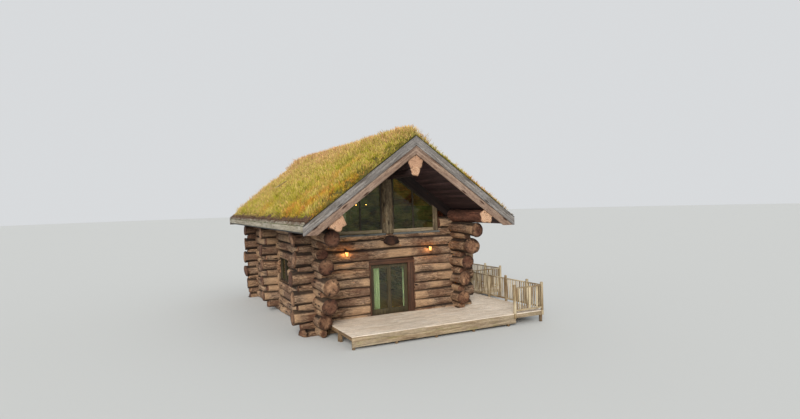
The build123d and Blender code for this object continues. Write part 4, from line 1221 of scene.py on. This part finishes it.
def slopedBar(side, near, far, depths, inner=0.0, outer=roof["eaveX"]):
    # a bar that follows the slope, between two depths under the apex line
    bar = block((0, near, 0), (1, far, 1))
    unit = points(bar)
    x = inner + (outer - inner) * unit[:, 0]
    depth = np.where(unit[:, 2] > 0.5, depths[0], depths[1])
    setPoints(bar, np.stack([side * x, unit[:, 1], roof["apex"] - depth - roof["slope"] * x], axis=1))
    if side < 0:
        turnOutward(bar)
    return bar


def makeMembrane():
    bars = []
    low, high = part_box("eave_boards_right")
    for side in (-1, 1):
        for face, out in bothGables:
            near, far = sorted((face + out * membrane["proud"], face - out * membrane["inward"]))
            bars.append(slopedBar(side, near, far, (-membrane["thick"], 0.0)))
        left, right = sorted((side * (high.x - membrane["lap"]), side * (high.x + membrane["thick"])))
        bars.append(block((left, low.y, low.z - membrane["below"]), (right, high.y, low.z + membrane["tall"])))
    finishBoards(bars, "roof_membrane", "blackRubber", "turf", bevel=0.002, segments=1, grain=False)


makeMembrane()

# Nail heads along the bargeboards, two rows in each board
nails = {
    "first": 0.3, "pitch": 0.62, "inRow": 7, "radius": 0.007, "head": 0.006, "proud": 0.002,
    # depth under the apex line, and how far the board there stands back
    "rows": ((0.07, 0.0), (0.25, 0.0), (0.42, 0.045), (0.62, 0.045)),
}


def makeNails():
    clearSelection()
    bpy.ops.mesh.primitive_cylinder_add(vertices=7, radius=nails["radius"], depth=nails["head"],
                                        rotation=(math.radians(90), 0, 0))
    first = bpy.context.object
    bpy.ops.object.transform_apply(location=True, rotation=True, scale=True)
    bevelEdges(first, 0.0015, 1)
    unit = points(first)
    made = []
    for face, out in bothGables:
        for side in (-1, 1):
            for step in range(nails["inRow"]):
                for depth, back in nails["rows"]:
                    x = nails["first"] + step * nails["pitch"] + chance.uniform(-0.03, 0.03)
                    nail = copyPiece(first, "nail")
                    y = face - out * back + out * nails["proud"]
                    z = roofLine(depth + chance.uniform(-0.01, 0.01), x)
                    setPoints(nail, unit + np.array([side * x, y, z]))
                    made.append(nail)
    dress(joined(made, "barge_nails"), "blackIron", "barge_wood")
    drop(first)


makeNails()
print("membrane and nails ready")

# Deck boards, laid along the front
deck = {
    "top": 0.5, "thick": 0.028, "width": 0.143, "gap": 0.006, "left": -2.98, "right": 5.85, "longest": 4.4,
    "front": -3.08, "logEnds": -0.70, "besideLogs": 3.42,
    "platform": (2.75, 7.95, 5.70),  # its front, right and back edges
}


def boardField(low, high):
    # boards fill a rectangle; the rows are cut into lengths that break joint
    made = []
    rows = round((high[1] - low[1]) / (deck["width"] + deck["gap"]))
    pitch = (high[1] - low[1]) / rows
    for row in range(rows):
        near = low[1] + row * pitch + deck["gap"] / 2
        far = low[1] + row * pitch + pitch - deck["gap"] / 2
        cuts = [low[0]]
        while high[0] - cuts[-1] > deck["longest"] + 0.4:
            cuts.append(cuts[-1] + deck["longest"] * chance.uniform(0.55, 1.0))
        cuts.append(high[0])
        for start, end in zip(cuts, cuts[1:]):
            top = deck["top"] - chance.uniform(0.0, 0.003)
            made.append(block((start + 0.001, near, top - deck["thick"]), (end - 0.001, far, top)))
    return made


def makeDeck():
    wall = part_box("door_trim")[0].y + 0.12
    boards = boardField((deck["left"], deck["front"]), (deck["right"], deck["logEnds"]))
    boards += boardField((deck["left"], deck["logEnds"]), (-deck["left"] + 0.06, wall))
    finishBoards(boards, "deck_planks_front", "deckWood", "deck_wood", ["deck_boards_front"])
    boards = boardField((deck["besideLogs"], deck["logEnds"]), (deck["right"], deck["platform"][0]))
    boards += boardField((deck["besideLogs"], deck["platform"][0]), deck["platform"][1:])
    finishBoards(boards, "deck_planks_side", "deckWood", "deck_wood", ["deck_boards_side"])
    print("deck ready")


makeDeck()

# Balustrades: newels notched over the deck's edge, rails and balusters between them
balustrades = {
    "newel": 0.09, "newelTop": 1.73, "point": 0.012, "out": 0.04, "baluster": 0.040, "pitch": 0.128,
    "rails": ((0.07, 1.555, 1.60), (0.045, 0.59, 0.66)),  # width, underside and top
    "boards": (6, 9),  # the wider sticks at the front
    "runs": {
        # node: panels of (runs along X, edge, outward, newels, where the rails start)
        "balustrade_front": [(True, deck["front"], -1, (4.35, 5.805), None)],
        "balustrade_side": [(False, deck["right"], 1, (-2.05, -0.48, 0.90, 2.66), -3.03)],
        "balustrade_platform": [
            (True, deck["platform"][0], -1, (5.895, 7.905), None),
            (False, deck["platform"][1], 1, (4.225, 5.655), 2.80),
        ],
    },
}


def railBlock(alongX, start, end, across, halfWidth, bottom, top):
    low = (start, across - halfWidth, bottom) if alongX else (across - halfWidth, start, bottom)
    high = (end, across + halfWidth, top) if alongX else (across + halfWidth, end, top)
    return block(low, high)


def tilted(piece, amount):
    # nothing nailed by hand stands quite upright
    places = points(piece)
    middle = places.mean(0)
    lean = (chance.uniform(-amount, amount), chance.uniform(-amount / 3, amount / 3))
    for i in (0, 1):
        places[:, i] += (places[:, 2] - middle[2]) * lean[i]
    setPoints(piece, places)
    return piece


def newelPost(alongX, place, across, edge, outward):
    # a square post, its top cut to a low point and its leg notched over the deck's edge
    half = balustrades["newel"] / 2
    top = balustrades["newelTop"] - balustrades["point"]
    post = railBlock(alongX, place - half, place + half, across, half, deck["top"], top)
    editOnly(post, "FACE", lambda face: face.normal.z > 0.9)
    bpy.ops.mesh.inset(thickness=0.028)
    bpy.ops.transform.translate(value=(0, 0, balustrades["point"]))
    bpy.ops.object.mode_set(mode="OBJECT")
    legLow, legHigh = sorted((edge, edge + outward * balustrades["out"]))
    middle, legHalf = (legLow + legHigh) / 2, (legHigh - legLow) / 2
    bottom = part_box("balustrade_front")[0].z
    leg = railBlock(alongX, place - half, place + half, middle, legHalf, bottom, deck["top"] + 0.002)
    return [post, leg]


def makeBalustrades():
    look = balustrades
    for nodeName, panels in look["runs"].items():
        made = []
        for alongX, edge, outward, newels, railStart in panels:
            across = edge + outward * (look["out"] - look["newel"] / 2)
            for place in newels:
                made += newelPost(alongX, place, across, edge, outward)
            stops = list(newels) if railStart is None else [railStart, *newels]
            for start, end in zip(stops, stops[1:]):
                for wide, bottom, top in look["rails"]:
                    made.append(railBlock(alongX, start, end, across, wide / 2, bottom, top))
                count = max(1, round((end - start) / look["pitch"]))
                step = (end - start) / count
                for number in range(1, count):
                    place = start + step * number + chance.uniform(-0.008, 0.008)
                    half = look["baluster"] / 2 * chance.uniform(0.85, 1.15)
                    if nodeName == "balustrade_front" and number in look["boards"]:
                        half *= 2.4
                    stick = railBlock(alongX, place - half, place + half, across, look["baluster"] / 2,
                                      look["rails"][1][1] + 0.01, look["rails"][0][2] - 0.01)
                    made.append(tilted(stick, 0.012))
        finishBoards(made, nodeName + "_timbers", "railWood", "rail_wood", [nodeName], 0.004)
    print("balustrades ready")


makeBalustrades()

# Wall lanterns: a glazed six-sided body, a stepped cap and a bracket
lantern = {
    "x": (-2.05, 1.89), "y": -0.33, "z": 3.23, "wide": 0.075, "foot": 0.056, "tall": 0.19, "cap": 0.09,
    "capTall": 0.09, "tip": 0.012, "bar": 0.013, "arm": 0.010, "wall": -0.12, "power": 9.0,
    "lights": (-0.10, 0.10), "lightSize": 0.03, "lightColor": (1.0, 0.58, 0.24),
    # share of the radius, and height over the top or the foot of the glass
    "capRings": ((1.0, 0.0), (0.96, 0.012), (0.5, 0.052), (0.32, 0.058), (0.26, 0.078)),
    "footRings": ((0.7, 0.0), (1.04, 0.008), (1.04, 0.018)),
    # radius and height
    "bulbRings": ((0.004, -0.055), (0.012, -0.045), (0.016, -0.02), (0.027, 0.012), (0.024, 0.035),
                  (0.008, 0.048)),
}


def addPointLight(name, place, power, size, color):
    light = bpy.data.lights.new(name, "POINT")
    light.energy, light.color, light.shadow_soft_size = power, color, size
    lamp = linked(name, light)
    lamp.location = place
    lamp.visible_camera = lamp.visible_transmission = lamp.visible_glossy = False


def sixSided(rings):
    # a lathe-like body from rings of (radius, height), with flat sides
    body = cutCylinder(6, len(rings) - 2)
    unit = points(body)
    ring = np.rint((unit[:, 2] + 0.5) * (len(rings) - 1)).astype(int)
    radii = np.array([radius for radius, height in rings])[ring]
    heights = np.array([height for radius, height in rings])[ring]
    setPoints(body, np.stack([unit[:, 0] * radii, unit[:, 1] * radii, heights], axis=1))
    return body


def makeLanterns():
    look = lantern
    half = look["tall"] / 2
    tip, arm = look["tip"], look["arm"]
    cap = [(look["cap"] * share, half + up) for share, up in look["capRings"]]
    foot = [(look["foot"] * share, up - half) for share, up in look["footRings"]]
    parts = [sixSided([*cap, (tip, half + look["capTall"])]), sixSided([(tip, -half - tip), *foot])]
    for number in range(6):
        angle = math.radians(60 * number + 30)
        rod = block((-0.5, -0.5, 0), (0.5, 0.5, 1))
        unit = points(rod)
        radius = look["foot"] + (look["wide"] - look["foot"]) * unit[:, 2]
        x = math.sin(angle) * radius + unit[:, 0] * look["bar"]
        y = math.cos(angle) * radius + unit[:, 1] * look["bar"]
        setPoints(rod, np.stack([x, y, -half + unit[:, 2] * look["tall"]], axis=1))
        parts.append(rod)
    armTop = half + look["capTall"] + 0.02
    parts.append(block((-arm, -arm, half + look["capTall"] - 0.02), (arm, arm, armTop)))
    reach = look["wall"] - look["y"]
    parts.append(block((-arm, -0.012, armTop - 0.018), (arm, reach + 0.02, armTop)))
    parts.append(block((-0.035, reach, half - 0.09), (0.035, reach + 0.02, armTop + 0.03)))
    body = joined(parts, "lanternBody")
    bevelEdges(body, 0.002, 1)
    glass = sixSided([(look["foot"] * 0.93, -half + 0.015), (look["wide"] * 0.93, half)])
    bulb = roundOff(sixSided(look["bulbRings"]))
    for part, name, finish, slot in ((body, "lantern_iron", "blackIron", "black_metal"),
                                     (glass, "lantern_panes", "amberGlass", "pane"),
                                     (bulb, "lantern_bulbs", "lampGlow", "pane")):
        unit = points(part)
        made = []
        for x in look["x"]:
            each = copyPiece(part, name)
            setPoints(each, unit + np.array([x, look["y"], look["z"]]))
            made.append(each)
        piece = joined(made, name)
        dress(piece, finish, slot, ["lanterns"] if part is body else [])
    drop(body, glass, bulb)
    for x in look["x"]:
        for side in look["lights"]:
            place = (x + side, look["y"] + 0.03, look["z"] + 0.01)
            addPointLight("lanternLight", place, look["power"] / 2, look["lightSize"], look["lightColor"])
    print("lanterns ready")


makeLanterns()

# Inside: boarded ceiling, hanging lamps and the door curtains
inside = {
    "frontY": 0.25, "backY": 11.15, "ceilingFrom": 0.36, "ceilingTo": 3.02, "boardWidth": 0.12,
    "boardDepths": (0.602, 0.624), "lamps": ((-0.94, 1.35, 5.28), (-0.145, 2.1, 5.28)), "rod": 0.006,
    "rodTop": 0.61, "lampPower": 24.0, "lightSize": 0.06, "lightDrop": 0.35, "lightColor": (1.0, 0.60, 0.28),
    # radius and height
    "shadeRings": ((0.03, 0.14), (0.05, 0.12), (0.12, 0.0), (0.115, 0.0), (0.045, 0.115)),
    "bulbRings": ((0.006, -0.035), (0.026, -0.02), (0.030, 0.01), (0.014, 0.07)),
}


def makeCeiling():
    width = inside["boardWidth"]
    rows = int((inside["ceilingTo"] - inside["ceilingFrom"]) / width)
    for side, sign in bothSides:
        boards = []
        for row in range(rows):
            near = inside["ceilingFrom"] + row * width
            boards.append(slopedBar(sign, inside["frontY"], inside["backY"], inside["boardDepths"],
                                    near + 0.002, near + width - 0.002))
        finishBoards(boards, f"ceiling_{side}", "ceilingWood", "floor_wood", segments=1, grain=False)
    print("ceiling ready")


def lampPart(rings, x, y, z):
    part = sixSided([(radius, z + height) for radius, height in rings])
    setPoints(part, points(part) + np.array([x, y, 0]))
    return part


def makeLamps():
    # small shaded lamps on rods from the ceiling
    look = inside
    half = look["rod"]
    shades, rods, bulbs = [], [], []
    for x, y, z in look["lamps"]:
        shade = lampPart(look["shadeRings"], x, y, z)
        pick(shade)
        bpy.ops.object.shade_smooth_by_angle(angle=math.radians(35))
        shades.append(shade)
        rods.append(block((x - half, y - half, z + 0.12), (x + half, y + half, roofLine(look["rodTop"], x))))
        bulbs.append(roundOff(lampPart(look["bulbRings"], x, y, z)))
        place = (x, y, z - look["lightDrop"])
        addPointLight("roomLight", place, look["lampPower"], look["lightSize"], look["lightColor"])
    dress(joined(shades + rods, "lamp_shades"), "blackIron", "black_metal")
    dress(joined(bulbs, "lamp_bulbs"), "bulbGlow", "pane")


curtains = {
    "y": 0.30, "wall": 0.22, "bottom": 0.53, "top": 2.70, "rod": (-1.02, 1.14), "knobs": (-1.03, 1.15),
    "holders": (-0.99, 1.11), "depth": 0.045,
    # name: its two edges along X, its pleats and its flat width
    "cloths": {"curtain_left": (-0.95, -0.36, 6, 1.23), "curtain_right": (0.76, 1.08, 4, 0.85)},
}


def makeCurtains():
    look = curtains
    y, top = look["y"], look["top"]
    bars = [block((look["rod"][0], y - 0.01, top - 0.01), (look["rod"][1], y + 0.01, top + 0.01))]
    for x in look["knobs"]:
        bars.append(block((x - 0.02, y - 0.02, top - 0.02), (x + 0.02, y + 0.02, top + 0.02)))
    for x in look["holders"]:
        bars.append(block((x - 0.008, look["wall"], top - 0.008), (x + 0.008, y, top + 0.008)))
    finishBoards(bars, "curtain_rod", "blackIron", "black_metal", bevel=0.005, grain=False)
    for number, (name, (low, high, pleats, flat)) in enumerate(look["cloths"].items()):
        clearSelection()
        bpy.ops.mesh.primitive_grid_add(x_subdivisions=96, y_subdivisions=26, size=1)
        cloth = bpy.context.object
        unit = points(cloth)
        share, down = unit[:, 0] + 0.5, unit[:, 1] + 0.5
        wave = 2 * math.pi * pleats * share
        x = low + (high - low) * share + 0.008 * np.sin(2 * wave + number)
        folded = y + look["depth"] * np.sin(wave + 0.3 * np.sin(4 * down + number))
        tall = top - look["bottom"]
        setPoints(cloth, np.stack([x, folded, look["bottom"] + tall * down], axis=1))
        pick(cloth)
        bpy.ops.object.shade_smooth()
        cloth.name = name
        dress(cloth, "curtainCloth", "pane")
        atTop = abs(down - 1.0) < 1e-4
        rim = points(cloth)[atTop][np.argsort(share[atTop])]
        across = float(np.linalg.norm(np.diff(rim, axis=0), axis=1).sum())
        print(name, "measures", round(across, 3), "across and", round(tall, 3), "down")


makeCeiling()
makeLamps()
makeCurtains()
print("inside ready")

view = {"place": (-9.940, -21.698, 5.361), "yaw": 25.91, "pitch": 0.82, "roll": -1.64, "lens": 24.63}


def addCamera():
    data = bpy.data.cameras.new("photoCamera")
    data.sensor_width, data.lens, data.clip_end = 36.0, view["lens"], 600.0
    camera = linked("photoCamera", data)
    turn = Matrix.Rotation(math.radians(-view["yaw"]), 4, "Z")
    tilt = Matrix.Rotation(math.radians(90.0 - view["pitch"]), 4, "X")
    lean = Matrix.Rotation(math.radians(view["roll"]), 4, "Z")
    camera.matrix_world = Matrix.Translation(view["place"]) @ turn @ tilt @ lean
    scene.camera = camera
    print("camera ready")


addCamera()

studio = {
    "skyColor": (0.86, 0.88, 0.90, 1.0), "skyStrength": 0.80, "floorColor": (0.56, 0.57, 0.56, 1.0),
    "floorRadius": 260.0, "sunPower": 2.7, "sunColor": (1.0, 0.97, 0.92), "sunSpread": 25,
}


def addStudio():
    scene.view_settings.view_transform = "Standard"
    scene.view_settings.look = "None"
    world = bpy.data.worlds.new("studio")
    scene.world = world
    world.use_nodes = True
    back = world.node_tree.nodes["Background"]
    back.inputs["Color"].default_value = studio["skyColor"]
    back.inputs["Strength"].default_value = studio["skyStrength"]
    sun = bpy.data.lights.new("sun", "SUN")
    sun.energy, sun.color = studio["sunPower"], studio["sunColor"]
    sun.angle = math.radians(studio["sunSpread"])
    linked("sun", sun).rotation_euler = (math.radians(63), 0, math.radians(-32))
    clearSelection()
    bpy.ops.mesh.primitive_circle_add(vertices=96, radius=studio["floorRadius"], fill_type="NGON")
    ground = bpy.context.object
    ground.name = "studioFloor"
    material = bpy.data.materials.new("studioFloor")
    material.use_nodes = True
    shader = material.node_tree.nodes["Principled BSDF"]
    shader.inputs["Base Color"].default_value = studio["floorColor"]
    shader.inputs["Roughness"].default_value = 0.9
    ground.data.materials.append(material)
    print("studio ready")


addStudio()
